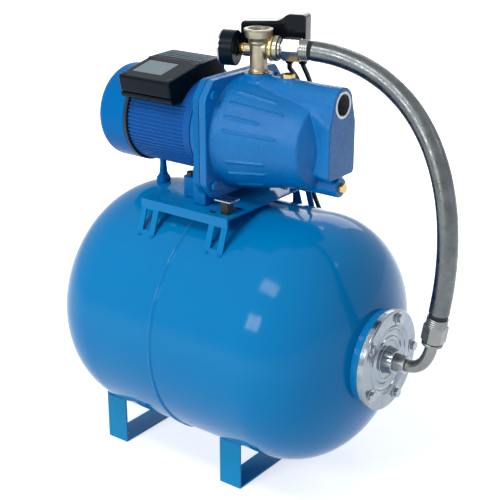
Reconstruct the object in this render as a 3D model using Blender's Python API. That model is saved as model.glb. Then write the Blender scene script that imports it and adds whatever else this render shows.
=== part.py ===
"""Booster pump set: a jet pump on a horizontal pressure tank, with gauge, pressure switch and hose.

Units are metres and +Z is up. X runs along the tank from the motor end to the suction port,
and -Y is the front. Lengths along X are measured from the tank's weld seam. The whole set hangs
from one root empty, which brings the middle of its floor area to the origin.
"""
import math

import bpy
import bmesh
from mathutils import Matrix, Vector
from mathutils.geometry import tessellate_polygon

# Clearances
GAP = 0.0003
RUNNING_GAP = 0.0008

# Tank
TANK_RADIUS = 0.190
TANK_WALL = 0.002
TANK_GROUND_CLEARANCE = 0.047
FRONT_SHELL_LENGTH = 0.281
REAR_SHELL_LENGTH = 0.255
KNUCKLE_RADIUS = 0.110
CROWN_RADIUS = 0.278
LAP_LENGTH = 0.012
LAP_RAMP = 0.006
WELD_HALF_WIDTH = 0.0035
WELD_HEIGHT = 0.0022
TANK_SIDES = 32

# Collar, bladder and counterflange
COLLAR_RADIUS = 0.0713
COLLAR_HEIGHT = 0.0070
MOUTH_RADIUS = 0.050
BLADDER_WALL = 0.0028
BLADDER_RADIUS = 0.140
BLADDER_HALF_LENGTH = 0.200
BLADDER_LIP_RADIUS = 0.0565
FLANGE_RADIUS = 0.0750
FLANGE_SHEET = 0.0030
FLANGE_FIT = 0.0012
FLANGE_RIM_DEPTH = 0.0095
FLANGE_RECESS = 0.0055
FLANGE_NECK_RADIUS = 0.0175
FLANGE_NECK_LENGTH = 0.0110
FLANGE_BORE_RADIUS = 0.0120
FLANGE_BOLTS = 5
FLANGE_BOLT_CIRCLE = 0.0625
FLANGE_BOLT_RADIUS = 0.0040
BOLT_HEAD_RADIUS = 0.0075
BOLT_HEAD_HEIGHT = 0.0055

# Feet
FOOT_REAR_X = -0.1535
FOOT_FRONT_X = 0.0820
FOOT_WIDTH = 0.040
FOOT_DEPTH = 0.210
FOOT_SHEET = 0.003
FOOT_HOLE_RADIUS = 0.0055
FOOT_HOLE_INSET = 0.018

# Pump bracket
BRACKET_LENGTH = 0.163
BRACKET_DEPTH = 0.213
BRACKET_SHEET = 0.003
BRACKET_CLEARANCE = 0.0065
BRACKET_SKIRT = 0.014
BRACKET_LEG_WIDTH = 0.034
BRACKET_LEG_FLARE = 0.36
BRACKET_SLOT_WIDTH = 0.013

# Air valve
VALVE_RADIUS = 0.0046
VALVE_SEAT_DEPTH = 0.0010
VALVE_LENGTH = 0.012
VALVE_CAP_RADIUS = 0.0062

# Pump body
FOOT_TO_SHAFT = 0.0995
JOINT_X = 0.0215
BODY_FLANGE_THICKNESS = 0.012
BODY_FLANGE_HALF_WIDTH = 0.0935
BODY_FLANGE_HALF_HEIGHT = 0.0875
BODY_FLANGE_CHAMFER = 0.024
BODY_WALL = 0.006
DRUM_REAR_RADIUS = 0.0875
DRUM_FRONT_RADIUS = 0.0620
DRUM_FRONT_X = 0.168
NOSE_RADIUS = 0.0350
NOSE_X = 0.1815
FACE_X = 0.2025
FACE_HALF_WIDTH = 0.0335
FACE_SHOULDER_Z = 0.034
FACE_BOTTOM_Z = -0.0415
REAR_SHOULDER_Z = 0.055
BARREL_RADIUS = 0.0245
BARREL_REAR_X = 0.045
PORT_Z = 0.0629
PORT_BORE_RADIUS = 0.0152
PORT_DEPTH = 0.030
TOP_BOSS_X = 0.057
TOP_BOSS_RADIUS = 0.0215
TOP_BOSS_Z = 0.0895
PRIMING_X = 0.1086
PRIMING_BOSS_RADIUS = 0.0120
PRIMING_BOSS_Z = 0.0885
PLUG_THREAD_RADIUS = 0.0060
PRIMING_HEX_RADIUS = 0.0105
DRAIN_Z = -0.0565
DRAIN_BOSS_RADIUS = 0.0145
DRAIN_HEX_RADIUS = 0.0065
BODY_BOLT_Y = 0.0765
BODY_BOLT_Z = 0.0665
BODY_BOLT_RADIUS = 0.0040
BODY_BOLT_GRIP = 0.0080
RIB_HEIGHT = 0.0016
RIB_WIDTH = 0.0030
MOUTH_CAVITY_RADIUS = 0.0780

# Hydraulic inner parts
IMPELLER_RADIUS = 0.0560
IMPELLER_X = 0.0270
IMPELLER_WIDTH = 0.0140
IMPELLER_VANES = 6
SHROUD_THICKNESS = 0.0022
DIFFUSER_RADIUS = 0.0690
DIFFUSER_DEPTH = 0.0300
DIFFUSER_WALL = 0.0035
VENTURI_RADIUS = 0.0135
VENTURI_LENGTH = 0.075
NOZZLE_RADIUS = 0.0100
NOZZLE_LENGTH = 0.024
SHAFT_SEAL_RADIUS = 0.0155

# Motor
HOUSING_REAR_X = -0.1390
HOUSING_FRONT_X = -0.0170
HOUSING_BORE = 0.0640
HOUSING_RADIUS = 0.0668
FIN_HEIGHT = 0.0025
FINS = 34
MOTOR_SIDES = 20
FIN_FILL = 0.45
STACK_REAR_X = -0.110
STACK_FRONT_X = -0.050
STATOR_BORE = 0.0326
WINDING_LENGTH = 0.017
WINDING_INNER = 0.0345
WINDING_OUTER = 0.0530
SHAFT_RADIUS = 0.0095
FRONT_SEAT_RADIUS = 0.0084
REAR_SEAT_RADIUS = 0.0074
FAN_SEAT_RADIUS = 0.0065
IMPELLER_SEAT_RADIUS = 0.0062
FRONT_BEARING_X = -0.0178
FRONT_BEARING_WIDTH = 0.012
FRONT_BEARING_RADIUS = 0.0200
REAR_BEARING_X = -0.1570
REAR_BEARING_WIDTH = 0.011
REAR_BEARING_RADIUS = 0.0175
ADAPTER_PLATE = 0.011
ADAPTER_SPIGOT = 0.005
WEB_THICKNESS = 0.023
WEB_HALF_WIDTH = 0.081
WEB_TOP_Z = -0.045
ARCH_HALF_WIDTH = 0.033
LUG_X = -0.030
LUG_Y = 0.050
LUG_RADIUS = 0.0120
LUG_HEIGHT = 0.0300
SHIELD_REAR_X = -0.1590
SHIELD_THICKNESS = 0.005
FAN_X = -0.1840
FAN_RADIUS = 0.0600
FAN_BLADES = 7
FAN_HUB_LENGTH = 0.0220
COVER_RADIUS = 0.0730
COVER_SHEET = 0.0012
COVER_REAR_X = -0.2010
COVER_LAP = 0.0040
COVER_ROUNDING = 0.0150
COVER_SLOTS = 12
MOTOR_FOOT_X = -0.130
MOTOR_FOOT_WIDTH = 0.018
MOTOR_FOOT_DEPTH = 0.022

# Terminal box
BOX_FRONT_X = -0.040
BOX_FRONT_Y = -0.0866
BOX_LOW_Y = -0.0815
BOX_SADDLE_Y = -0.0790
CAPACITOR_RADIUS = 0.0085
BOX_RIDGE_Y = -0.011
BOX_BACK_Y = 0.046
BOX_BOTTOM_Z = 0.0413
BOX_LIP_Z = 0.0500
BOX_TRAY_Z = 0.0727
BOX_EDGE_Z = 0.0755
BOX_TOP_Z = 0.0935
BOX_WALL = 0.0025
LABEL_DEPTH = 0.0008
BOX_GLAND_X = -0.070
BOX_GLAND_Z = 0.0680

# Fittings above the pump
CONNECTOR_TURN = math.radians(18.0)
COLUMN_RADIUS = 0.0127
COLUMN_BORE = 0.0090
COLUMN_THREAD = 0.0125
COLUMN_THREAD_LENGTH = 0.012
TOP_PORT_RADIUS = 0.0212
TOP_PORT_ROOT = 0.0190
TOP_PORT_HEIGHT = 0.0630
TOP_PORT_DEPTH = 0.0150
BRANCH_Z = 0.0360
SIDE_PORT_RADIUS = 0.0185
SIDE_PORT_REACH = 0.0310
GAUGE_BRANCH_RADIUS = 0.0078
GAUGE_BRANCH_REACH = 0.0290
SWITCH_BRANCH_RADIUS = 0.0090
SWITCH_BRANCH_REACH = 0.0180

# Gauge
GAUGE_DROP = 0.0030
GAUGE_RADIUS = 0.0255
GAUGE_DEPTH = 0.0260
GAUGE_BOSS = 0.0030
GAUGE_CAVITY = 0.0052
GAUGE_LENS = 0.0012
POINTER_LENGTH = 0.0175

# Pressure switch
SWITCH_LEFT = -0.0375
SWITCH_RIGHT = 0.0605
SWITCH_FRONT_Y = 0.0300
SWITCH_DEPTH = 0.0320
SWITCH_BASE_SHEET = 0.0030
SWITCH_BOTTOM_Z = 0.0155
SWITCH_LOW_TOP_Z = 0.0665
SWITCH_HIGH_TOP_Z = 0.0800
SWITCH_TOP_SLOPE = 0.0035
SWITCH_STEP = 0.0265
SWITCH_WALL = 0.0022
DIAPHRAGM_RADIUS = 0.0170
PLUNGER_RADIUS = 0.0030
PLUNGER_TRAVEL = 0.0015
LEVER_ARM = 0.0170
LEVER_GAP = 0.0006
LEVER_PIN_RADIUS = 0.0015
CABLE_RADIUS = 0.0037
CABLE_SPACING = 0.019
GLAND_RADIUS = 0.0075
GLAND_LENGTH = 0.0100
MAINS_GLAND = 0.0520
MOTOR_GLAND = 0.0320
GLAND_Y = 0.0470

# Hose
HOSE_RADIUS = 0.0147
FERRULE_HEX_RADIUS = 0.0178
FERRULE_RING_LENGTH = 0.0040
FERRULE_HEX_LENGTH = 0.0260
FERRULE_SLEEVE_LENGTH = 0.0115
ELBOW_RADIUS = 0.0090
ELBOW_RUN = 0.0373
ELBOW_RISE = 0.0445
ELBOW_LEAN = math.radians(8.8)
ELBOW_NUT_RADIUS = 0.0150
ELBOW_NUT_LENGTH = 0.0165
HOSE_REACH_OUT = 0.1488
HOSE_REACH_RISE = -0.0107
HOSE_REACH_UP = 0.2265

# Lead and plug on the floor behind the tank
COIL_RADIUS = 0.0365
COIL_TURNS_HEIGHT = 0.0150
COIL_BAND = 0.0075
COIL_SIDES = 20
COIL_X = -0.105
COIL_Y = 0.275
PLUG_RADIUS = 0.0185
PLUG_LENGTH = 0.038
PLUG_TILT = math.radians(25.0)
PLUG_NECK_Z = 0.0078
PIN_RADIUS = 0.0024
PIN_LENGTH = 0.019
PIN_SPACING = 0.019

# Worked out from the sizes above
BOX_REAR_X = HOUSING_REAR_X + GAP
TANK_Z = TANK_GROUND_CLEARANCE + TANK_RADIUS
PLATE_Z = TANK_Z + TANK_RADIUS + BRACKET_CLEARANCE + BRACKET_SHEET
SHAFT_Z = PLATE_Z + FOOT_TO_SHAFT
ADAPTER_FACE_X = JOINT_X - GAP
CONNECTOR_Z = SHAFT_Z + TOP_BOSS_Z + GAP
COLLAR_FACE_X = FRONT_SHELL_LENGTH + COLLAR_HEIGHT
FLANGE_BACK_X = COLLAR_FACE_X + BLADDER_WALL + 2.0 * GAP
FLANGE_FACE_X = FLANGE_BACK_X + FLANGE_SHEET
VALVE_TIP_X = -REAR_SHELL_LENGTH - TANK_WALL - VALVE_LENGTH - GAP - TANK_WALL
ELBOW_START_X = FLANGE_FACE_X + FLANGE_NECK_LENGTH + ELBOW_NUT_LENGTH + 2.0 * GAP


def remove_everything():
    """Empty the scene."""
    for item in list(bpy.data.objects):
        bpy.data.objects.remove(item, do_unlink=True)


def material(name, colour, roughness, metallic):
    """Make a Principled material, or return the one that already has this name."""
    found = bpy.data.materials.get(name)
    if found:
        return found
    made = bpy.data.materials.new(name)
    made.use_nodes = True
    shader = made.node_tree.nodes["Principled BSDF"]
    shader.inputs["Base Color"].default_value = (*colour, 1.0)
    shader.inputs["Roughness"].default_value = roughness
    shader.inputs["Metallic"].default_value = metallic
    made.diffuse_color = (*colour, 1.0)
    return made


def tank_blue():
    return material("tank_blue", (0.006, 0.205, 0.552), 0.18, 0.0)


def cast_blue():
    return material("cast_blue", (0.004, 0.165, 0.500), 0.42, 0.0)


def motor_blue():
    return material("motor_blue", (0.010, 0.115, 0.450), 0.35, 0.0)


def slate_black():
    return material("slate_black", (0.013, 0.023, 0.034), 0.35, 0.0)


def zinc():
    return material("zinc", (0.62, 0.68, 0.74), 0.30, 0.9)


def brass():
    return material("brass", (0.60, 0.48, 0.24), 0.30, 1.0)


def nickel_bronze():
    return material("nickel_bronze", (0.46, 0.42, 0.31), 0.28, 1.0)


def steel():
    return material("steel", (0.55, 0.56, 0.57), 0.30, 1.0)


def lamination():
    return material("lamination", (0.20, 0.20, 0.22), 0.55, 0.8)


def copper():
    return material("copper", (0.60, 0.24, 0.10), 0.40, 0.9)


def black_rubber():
    return material("black_rubber", (0.012, 0.012, 0.014), 0.70, 0.0)


def grey_plastic():
    return material("grey_plastic", (0.35, 0.36, 0.37), 0.50, 0.0)


def white_plastic():
    return material("white_plastic", (0.80, 0.80, 0.78), 0.40, 0.0)


def braid():
    return material("braid", (0.50, 0.51, 0.53), 0.35, 0.9)


def empty(name, parent, location):
    """Add an empty that carries pieces in a frame of its own."""
    made = bpy.data.objects.new(name, None)
    bpy.context.collection.objects.link(made)
    made.parent = parent
    made.location = location
    return made


def piece(name, bm, finish, parent):
    """Turn a bmesh into a named object with outward faces and smooth round sides."""
    bmesh.ops.recalc_face_normals(bm, faces=bm.faces)
    mesh = bpy.data.meshes.new(name)
    bm.to_mesh(mesh)
    bm.free()
    mesh.shade_smooth()
    mesh.set_sharp_from_angle(angle=math.radians(35.0))
    made = bpy.data.objects.new(name, mesh)
    bpy.context.collection.objects.link(made)
    made.parent = parent
    mesh.materials.append(finish)
    return made


def combine(target, operation, bm):
    """Join a bmesh to the target or cut it away, in the target's own frame."""
    tool = piece("tool", bm, target.data.materials[0], target.parent)
    modifier = target.modifiers.new("combine", "BOOLEAN")
    modifier.operation = operation
    modifier.solver = "EXACT"
    modifier.object = tool
    bpy.context.view_layer.update()
    depsgraph = bpy.context.evaluated_depsgraph_get()
    result = bpy.data.meshes.new_from_object(target.evaluated_get(depsgraph))
    target.modifiers.clear()
    finish = target.data.materials[0]
    plain = target.data
    target.data = result
    result.name = target.name
    result.materials.clear()
    result.materials.append(finish)
    bpy.data.meshes.remove(plain)
    bpy.data.objects.remove(tool, do_unlink=True)
    result.shade_smooth()
    result.set_sharp_from_angle(angle=math.radians(35.0))


def on_axis(axis, along, u, v):
    """Place (u, v) at a distance along an axis."""
    if axis == "X":
        return Vector((along, u, v))
    if axis == "Y":
        return Vector((u, along, v))
    return Vector((u, v, along))


def skin(bm, rings, closed):
    """Join rings of vertices with faces. A ring of one vertex is a pole."""
    pairs = list(zip(rings, rings[1:]))
    if closed:
        pairs.append((rings[-1], rings[0]))
    for low, high in pairs:
        count = max(len(low), len(high))
        for i in range(count):
            j = (i + 1) % count
            corners = [low[i % len(low)], low[j % len(low)], high[j % len(high)], high[i % len(high)]]
            unique = list(dict.fromkeys(corners))
            if len(unique) > 2:
                bm.faces.new(unique)


def turned(profile, sides, axis="X", centre=(0.0, 0.0, 0.0), bm=None):
    """Turn a profile of (along, radius) points. Without poles it closes on itself as a ring."""
    bm = bm or bmesh.new()
    origin = Vector(centre)
    rings = []
    for along, radius in profile:
        if radius < 1e-6:
            rings.append([bm.verts.new(origin + on_axis(axis, along, 0.0, 0.0))])
            continue
        ring = []
        for i in range(sides):
            angle = 2.0 * math.pi * i / sides
            point = on_axis(axis, along, radius * math.cos(angle), radius * math.sin(angle))
            ring.append(bm.verts.new(origin + point))
        rings.append(ring)
    skin(bm, rings, closed=len(rings[0]) > 1 and len(rings[-1]) > 1)
    return bm


def rod(start, end, radius, sides, axis="X", centre=(0.0, 0.0, 0.0), bm=None):
    """A plain round bar."""
    return turned([(start, 0.0), (start, radius), (end, radius), (end, 0.0)], sides, axis, centre, bm)


def prism(outline, low, high, axis="X", holes=(), bm=None):
    """Extrude an outline of (u, v) points along an axis, with holes of any shape."""
    bm = bm or bmesh.new()
    loops = [list(outline)] + [list(hole) for hole in holes]
    flat = [[Vector((u, v, 0.0)) for u, v in loop] for loop in loops]
    triangles = tessellate_polygon(flat)
    levels = []
    for along in (low, high):
        levels.append([[bm.verts.new(on_axis(axis, along, u, v)) for u, v in loop] for loop in loops])
    for level in levels:
        joined = [vertex for loop in level for vertex in loop]
        for triangle in triangles:
            bm.faces.new([joined[i] for i in triangle])
    for lower, upper in zip(*levels):
        count = len(lower)
        for i in range(count):
            j = (i + 1) % count
            bm.faces.new([lower[i], lower[j], upper[j], upper[i]])
    bmesh.ops.dissolve_limit(bm, angle_limit=math.radians(0.1), verts=bm.verts, edges=bm.edges)
    return bm


def stacked(sections, axis="X", centre=(0.0, 0.0, 0.0), bm=None):
    """Loft closed outlines of equal length. Each section is (along, outline)."""
    bm = bm or bmesh.new()
    origin = Vector(centre)
    rings = []
    for along, outline in sections:
        rings.append([bm.verts.new(origin + on_axis(axis, along, u, v)) for u, v in outline])
    skin(bm, rings, closed=False)
    bm.faces.new(rings[0])
    bm.faces.new(rings[-1])
    return bm


def circle(radius, sides, centre=(0.0, 0.0), start=0.0):
    """Points round a circle, which with six sides is a hexagon."""
    points = []
    for i in range(sides):
        angle = start + 2.0 * math.pi * i / sides
        points.append((centre[0] + radius * math.cos(angle), centre[1] + radius * math.sin(angle)))
    return points


def rectangle(u_low, u_high, v_low, v_high):
    return [(u_low, v_low), (u_high, v_low), (u_high, v_high), (u_low, v_high)]


def slot(u_centre, v_centre, length, width, sides=8):
    """A long hole with round ends, lying along u."""
    points = []
    half = length / 2.0 - width / 2.0
    for i in range(sides + 1):
        angle = -math.pi / 2.0 + math.pi * i / sides
        points.append((u_centre + half + width / 2.0 * math.cos(angle),
                       v_centre + width / 2.0 * math.sin(angle)))
    for i in range(sides + 1):
        angle = math.pi / 2.0 + math.pi * i / sides
        points.append((u_centre - half + width / 2.0 * math.cos(angle),
                       v_centre + width / 2.0 * math.sin(angle)))
    return points


def box(x_low, x_high, y_low, y_high, z_low, z_high, bm=None):
    """A plain block."""
    return prism(rectangle(y_low, y_high, z_low, z_high), x_low, x_high, "X", bm=bm)


def bolt(head_at, head_end, shank_end, head_radius, shank_radius, axis, centre, bm=None):
    """A hexagon bolt whose shank leaves the underside of its head."""
    head = circle(head_radius, 6)
    shank = circle(shank_radius, 6)
    sections = [(head_end, head), (head_at, head), (head_at, shank), (shank_end, shank)]
    return stacked(sections, axis, centre, bm)


def torispherical(length, direction, inset, end_radius):
    """Outline of a dished tank end as (along, radius), from its straight side to end_radius."""
    knuckle = KNUCKLE_RADIUS - inset
    crown = CROWN_RADIUS - inset
    turn = math.asin((TANK_RADIUS - KNUCKLE_RADIUS) / (CROWN_RADIUS - KNUCKLE_RADIUS))
    depth = CROWN_RADIUS - (CROWN_RADIUS - KNUCKLE_RADIUS) * math.cos(turn)
    knuckle_x = length - depth
    crown_x = length - CROWN_RADIUS
    last = math.asin(end_radius / crown)
    points = []
    for i in range(4):
        angle = (math.pi / 2.0 - turn) * i / 3.0
        points.append((knuckle_x + knuckle * math.sin(angle),
                       TANK_RADIUS - KNUCKLE_RADIUS + knuckle * math.cos(angle)))
    for i in range(1, 3):
        angle = turn + (last - turn) * i / 2.0
        points.append((crown_x + crown * math.cos(angle), crown * math.sin(angle)))
    return [(direction * along, radius) for along, radius in points]


def tank_shells(frame):
    """Front and rear pressed shells. The rear one is joggled and slides into the front one."""
    bead = [(-WELD_HALF_WIDTH, TANK_RADIUS + GAP),
            (0.0, TANK_RADIUS + WELD_HEIGHT),
            (WELD_HALF_WIDTH, TANK_RADIUS)]
    outer = torispherical(FRONT_SHELL_LENGTH, 1.0, 0.0, COLLAR_RADIUS)
    collar = [(COLLAR_FACE_X, COLLAR_RADIUS), (COLLAR_FACE_X, MOUTH_RADIUS)]
    inner = torispherical(FRONT_SHELL_LENGTH, 1.0, TANK_WALL, MOUTH_RADIUS)
    rim = [(0.0, TANK_RADIUS - TANK_WALL), (0.0, TANK_RADIUS + GAP)]
    profile = bead + outer + collar + list(reversed(inner)) + rim
    front = piece("tank_front_shell", turned(profile, TANK_SIDES), tank_blue(), frame)
    holes = bmesh.new()
    for y, z in flange_bolt_places():
        rod(COLLAR_FACE_X - 0.0065, COLLAR_FACE_X + 0.002, FLANGE_BOLT_RADIUS + GAP, 8,
            "X", (0.0, y, z), holes)
    combine(front, "DIFFERENCE", holes)

    lap = TANK_RADIUS - TANK_WALL - GAP
    joggle = [(-LAP_RAMP, TANK_RADIUS), (-0.001, lap), (LAP_LENGTH, lap),
              (LAP_LENGTH, lap - TANK_WALL), (-0.002, lap - TANK_WALL),
              (-LAP_RAMP - 0.001, TANK_RADIUS - TANK_WALL)]
    hole = VALVE_RADIUS + GAP
    outer = torispherical(REAR_SHELL_LENGTH, -1.0, 0.0, hole)
    inner = torispherical(REAR_SHELL_LENGTH, -1.0, TANK_WALL, hole)
    profile = joggle + inner + list(reversed(outer))
    piece("tank_rear_shell", turned(profile, TANK_SIDES), tank_blue(), frame)


def tank_envelope(clearance):
    """The tank's outside as one solid, grown by a clearance, for cutting what rests on it."""
    def grown(points):
        return [(along, radius + clearance) for along, radius in points]

    rear = torispherical(REAR_SHELL_LENGTH + clearance, -1.0, 0.0, 0.01)
    front = torispherical(FRONT_SHELL_LENGTH + clearance, 1.0, 0.0, 0.01)
    poles = [(-REAR_SHELL_LENGTH - clearance, 0.0)], [(FRONT_SHELL_LENGTH + clearance, 0.0)]
    profile = poles[0] + grown(list(reversed(rear))) + grown(front) + poles[1]
    return turned(profile, TANK_SIDES)


def flange_bolt_places():
    """Centres of the counterflange bolts as (y, z) from the tank's axis."""
    return circle(FLANGE_BOLT_CIRCLE, FLANGE_BOLTS)


def bladder(frame):
    """Rubber membrane: a bag in the tank whose lip is clamped under the counterflange."""
    neck = MOUTH_RADIUS - GAP
    lip_x = COLLAR_FACE_X + GAP
    middle = FRONT_SHELL_LENGTH - BLADDER_HALF_LENGTH - 0.036

    def bag(inset, mouth):
        half = BLADDER_HALF_LENGTH - inset
        radius = BLADDER_RADIUS - inset
        first = math.asin(mouth / radius)
        points = []
        for i in range(7):
            angle = first + (math.pi - first) * i / 6.0
            points.append((middle + half * math.cos(angle), radius * math.sin(angle)))
        return points

    outer = bag(0.0, neck)
    inner = bag(BLADDER_WALL, neck - BLADDER_WALL)
    lip = [(lip_x, neck), (lip_x, BLADDER_LIP_RADIUS), (lip_x + BLADDER_WALL, BLADDER_LIP_RADIUS),
           (lip_x + BLADDER_WALL, neck - BLADDER_WALL)]
    profile = list(reversed(outer)) + lip + inner
    piece("tank_bladder", turned(profile, 16), black_rubber(), frame)


def counterflange(frame):
    """Pressed steel flange with a rim turned back over the collar and a threaded neck."""
    face = FLANGE_FACE_X
    back = FLANGE_BACK_X
    recess = FLANGE_RECESS
    mouth = MOUTH_RADIUS - GAP - BLADDER_WALL - FLANGE_FIT
    step = mouth - 0.0045
    profile = [(face - FLANGE_RIM_DEPTH, COLLAR_RADIUS + FLANGE_FIT),
               (face - FLANGE_RIM_DEPTH, FLANGE_RADIUS),
               (face - 0.0020, FLANGE_RADIUS),
               (face, FLANGE_RADIUS - 0.0020),
               (face, mouth + 0.0070),
               (face - 0.0025, mouth + 0.0020),
               (face - recess, step),
               (face - recess, step - 0.0060),
               (face - recess + 0.0022, step - 0.0085),
               (face - recess + 0.0022, step - 0.0130),
               (face - recess, step - 0.0150),
               (face - recess, FLANGE_NECK_RADIUS + 0.0020),
               (face + FLANGE_NECK_LENGTH, FLANGE_NECK_RADIUS),
               (face + FLANGE_NECK_LENGTH, FLANGE_BORE_RADIUS),
               (back - recess, FLANGE_BORE_RADIUS),
               (back - recess, step),
               (back, mouth),
               (back, COLLAR_RADIUS + FLANGE_FIT)]
    made = piece("tank_counterflange", turned(profile, 24), zinc(), frame)
    holes = bmesh.new()
    for y, z in flange_bolt_places():
        rod(back - 0.001, face + 0.001, FLANGE_BOLT_RADIUS + GAP, 8, "X", (0.0, y, z), holes)
    combine(made, "DIFFERENCE", holes)
    for number, (y, z) in enumerate(flange_bolt_places(), 1):
        made = bolt(face + GAP, face + GAP + BOLT_HEAD_HEIGHT, COLLAR_FACE_X - 0.005,
                    BOLT_HEAD_RADIUS, FLANGE_BOLT_RADIUS, "X", (0.0, y, z))
        piece(f"flange_bolt_{number}", made, zinc(), frame)


def tank_feet(frame):
    """Two U-shaped flat bars whose ends meet the tank."""
    half = FOOT_DEPTH / 2.0
    floor = -TANK_Z
    high = floor + TANK_Z
    outline = [(-half, floor), (half, floor), (half, high), (half - FOOT_SHEET, high),
               (half - FOOT_SHEET, floor + FOOT_SHEET), (-half + FOOT_SHEET, floor + FOOT_SHEET),
               (-half + FOOT_SHEET, high), (-half, high)]
    for name, foot_x in (("tank_foot_rear", FOOT_REAR_X), ("tank_foot_front", FOOT_FRONT_X)):
        bar = prism(outline, foot_x - FOOT_WIDTH / 2.0, foot_x + FOOT_WIDTH / 2.0)
        made = piece(name, bar, tank_blue(), frame)
        combine(made, "DIFFERENCE", tank_envelope(GAP))
        holes = bmesh.new()
        for side in (-1.0, 1.0):
            rod(floor - 0.001, floor + FOOT_SHEET + 0.001, FOOT_HOLE_RADIUS, 12, "Z",
                (foot_x, side * (half - FOOT_HOLE_INSET), 0.0), holes)
        combine(made, "DIFFERENCE", holes)


def pump_bracket(frame):
    """Folded sheet platform over the tank, on four slotted legs that splay out to the shell."""
    half_x = BRACKET_LENGTH / 2.0
    half_y = BRACKET_DEPTH / 2.0
    top = PLATE_Z - TANK_Z
    sheet = BRACKET_SHEET
    channel = [(-half_y, top - BRACKET_SKIRT), (-half_y, top), (half_y, top),
               (half_y, top - BRACKET_SKIRT), (half_y - sheet, top - BRACKET_SKIRT),
               (half_y - sheet, top - sheet), (-half_y + sheet, top - sheet),
               (-half_y + sheet, top - BRACKET_SKIRT)]
    made = piece("pump_bracket", prism(channel, -half_x, half_x), tank_blue(), frame)

    inset = 0.0002
    leg_top = top - sheet - 0.002
    leg_bottom = leg_top - 0.085
    bend = top - BRACKET_SKIRT
    middle = half_x - BRACKET_LEG_WIDTH / 2.0
    hole_half = BRACKET_SLOT_WIDTH / 2.0
    hole_top = bend - 0.001
    hole_bottom = hole_top - 0.030
    for end in (-1.0, 1.0):
        outline = rectangle(end * middle - BRACKET_LEG_WIDTH / 2.0 + inset,
                            end * middle + BRACKET_LEG_WIDTH / 2.0 - inset, leg_bottom, leg_top)
        hole = rectangle(end * middle - hole_half, end * middle + hole_half, hole_bottom, hole_top)
        for side in (-1.0, 1.0):
            near = side * (half_y - inset)
            far = side * (half_y - sheet + inset)
            leg = prism(outline, min(near, far), max(near, far), "Y", holes=[hole])
            bmesh.ops.bisect_plane(leg, geom=leg.verts[:] + leg.edges[:] + leg.faces[:],
                                   plane_co=(0.0, 0.0, bend), plane_no=(0.0, 0.0, 1.0))
            for vertex in leg.verts:
                if vertex.co.z < bend - 1e-5:
                    vertex.co.y += side * BRACKET_LEG_FLARE * (bend - vertex.co.z)
            combine(made, "UNION", leg)
    combine(made, "DIFFERENCE", tank_envelope(GAP))
    slots = bmesh.new()
    for x, y in ((0.046, 0.092), (-0.055, 0.092), (0.064, 0.058), (-0.064, 0.058)):
        for side in (-1.0, 1.0):
            outline = slot(x, side * y, 0.014, 0.007, 3)
            prism(outline, top - sheet - 0.001, top + 0.001, "Z", bm=slots)
    for side in (-1.0, 1.0):
        rod(top - sheet - 0.001, top + 0.001, 0.0043, 8, "Z", (LUG_X, side * LUG_Y, 0.0), slots)
    combine(made, "DIFFERENCE", slots)


def air_valve(frame):
    """Air valve in the middle of the rear dome, with its cap screwed on."""
    dome = -REAR_SHELL_LENGTH
    seat = dome - GAP
    outer = seat - 0.0035
    inside = dome + TANK_WALL + VALVE_SEAT_DEPTH
    profile = [(inside + 0.008, 0.0), (inside + 0.008, VALVE_RADIUS + 0.003),
               (inside, VALVE_RADIUS + 0.003), (inside, VALVE_RADIUS), (seat, VALVE_RADIUS),
               (seat, VALVE_RADIUS + 0.0045), (outer, VALVE_RADIUS + 0.0045), (outer, VALVE_RADIUS),
               (outer - 0.001, VALVE_RADIUS), (outer - 0.001, VALVE_CAP_RADIUS),
               (VALVE_TIP_X + 0.002, VALVE_CAP_RADIUS), (VALVE_TIP_X, VALVE_CAP_RADIUS - 0.002),
               (VALVE_TIP_X, 0.0)]
    piece("air_valve", turned(profile, 12), black_rubber(), frame)


def flange_outline(scale=1.0):
    """Square flange with chamfered corners."""
    y = BODY_FLANGE_HALF_WIDTH * scale
    z = BODY_FLANGE_HALF_HEIGHT * scale
    c = BODY_FLANGE_CHAMFER
    return [(-y, z - c), (-y, -z + c), (-y + 0.8 * c, -z), (y - 0.8 * c, -z),
            (y, -z + c), (y, z - c), (y - 0.8 * c, z), (-y + 0.8 * c, z)]


def body_bolt_places():
    return [(y * BODY_BOLT_Y, z * BODY_BOLT_Z) for y in (-1.0, 1.0) for z in (-1.0, 1.0)]


def drum_radius(x):
    """Outer radius of the tapered drum at a place along the shaft."""
    slope = (DRUM_FRONT_RADIUS - DRUM_REAR_RADIUS) / (DRUM_FRONT_X - JOINT_X)
    return DRUM_REAR_RADIUS + slope * (x - JOINT_X)


def hood_section(half_width, shoulder_z, bottom_z):
    """Section across the suction hood: a round top on a block with chamfered lower corners."""
    points = [(half_width - 0.004, bottom_z), (half_width, bottom_z + 0.005), (half_width, shoulder_z)]
    for i in range(9):
        angle = math.pi * i / 8.0
        points.append((BARREL_RADIUS * math.cos(angle), PORT_Z + BARREL_RADIUS * math.sin(angle)))
    points += [(-half_width, shoulder_z), (-half_width, bottom_z + 0.005), (-half_width + 0.004, bottom_z)]
    return points


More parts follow.
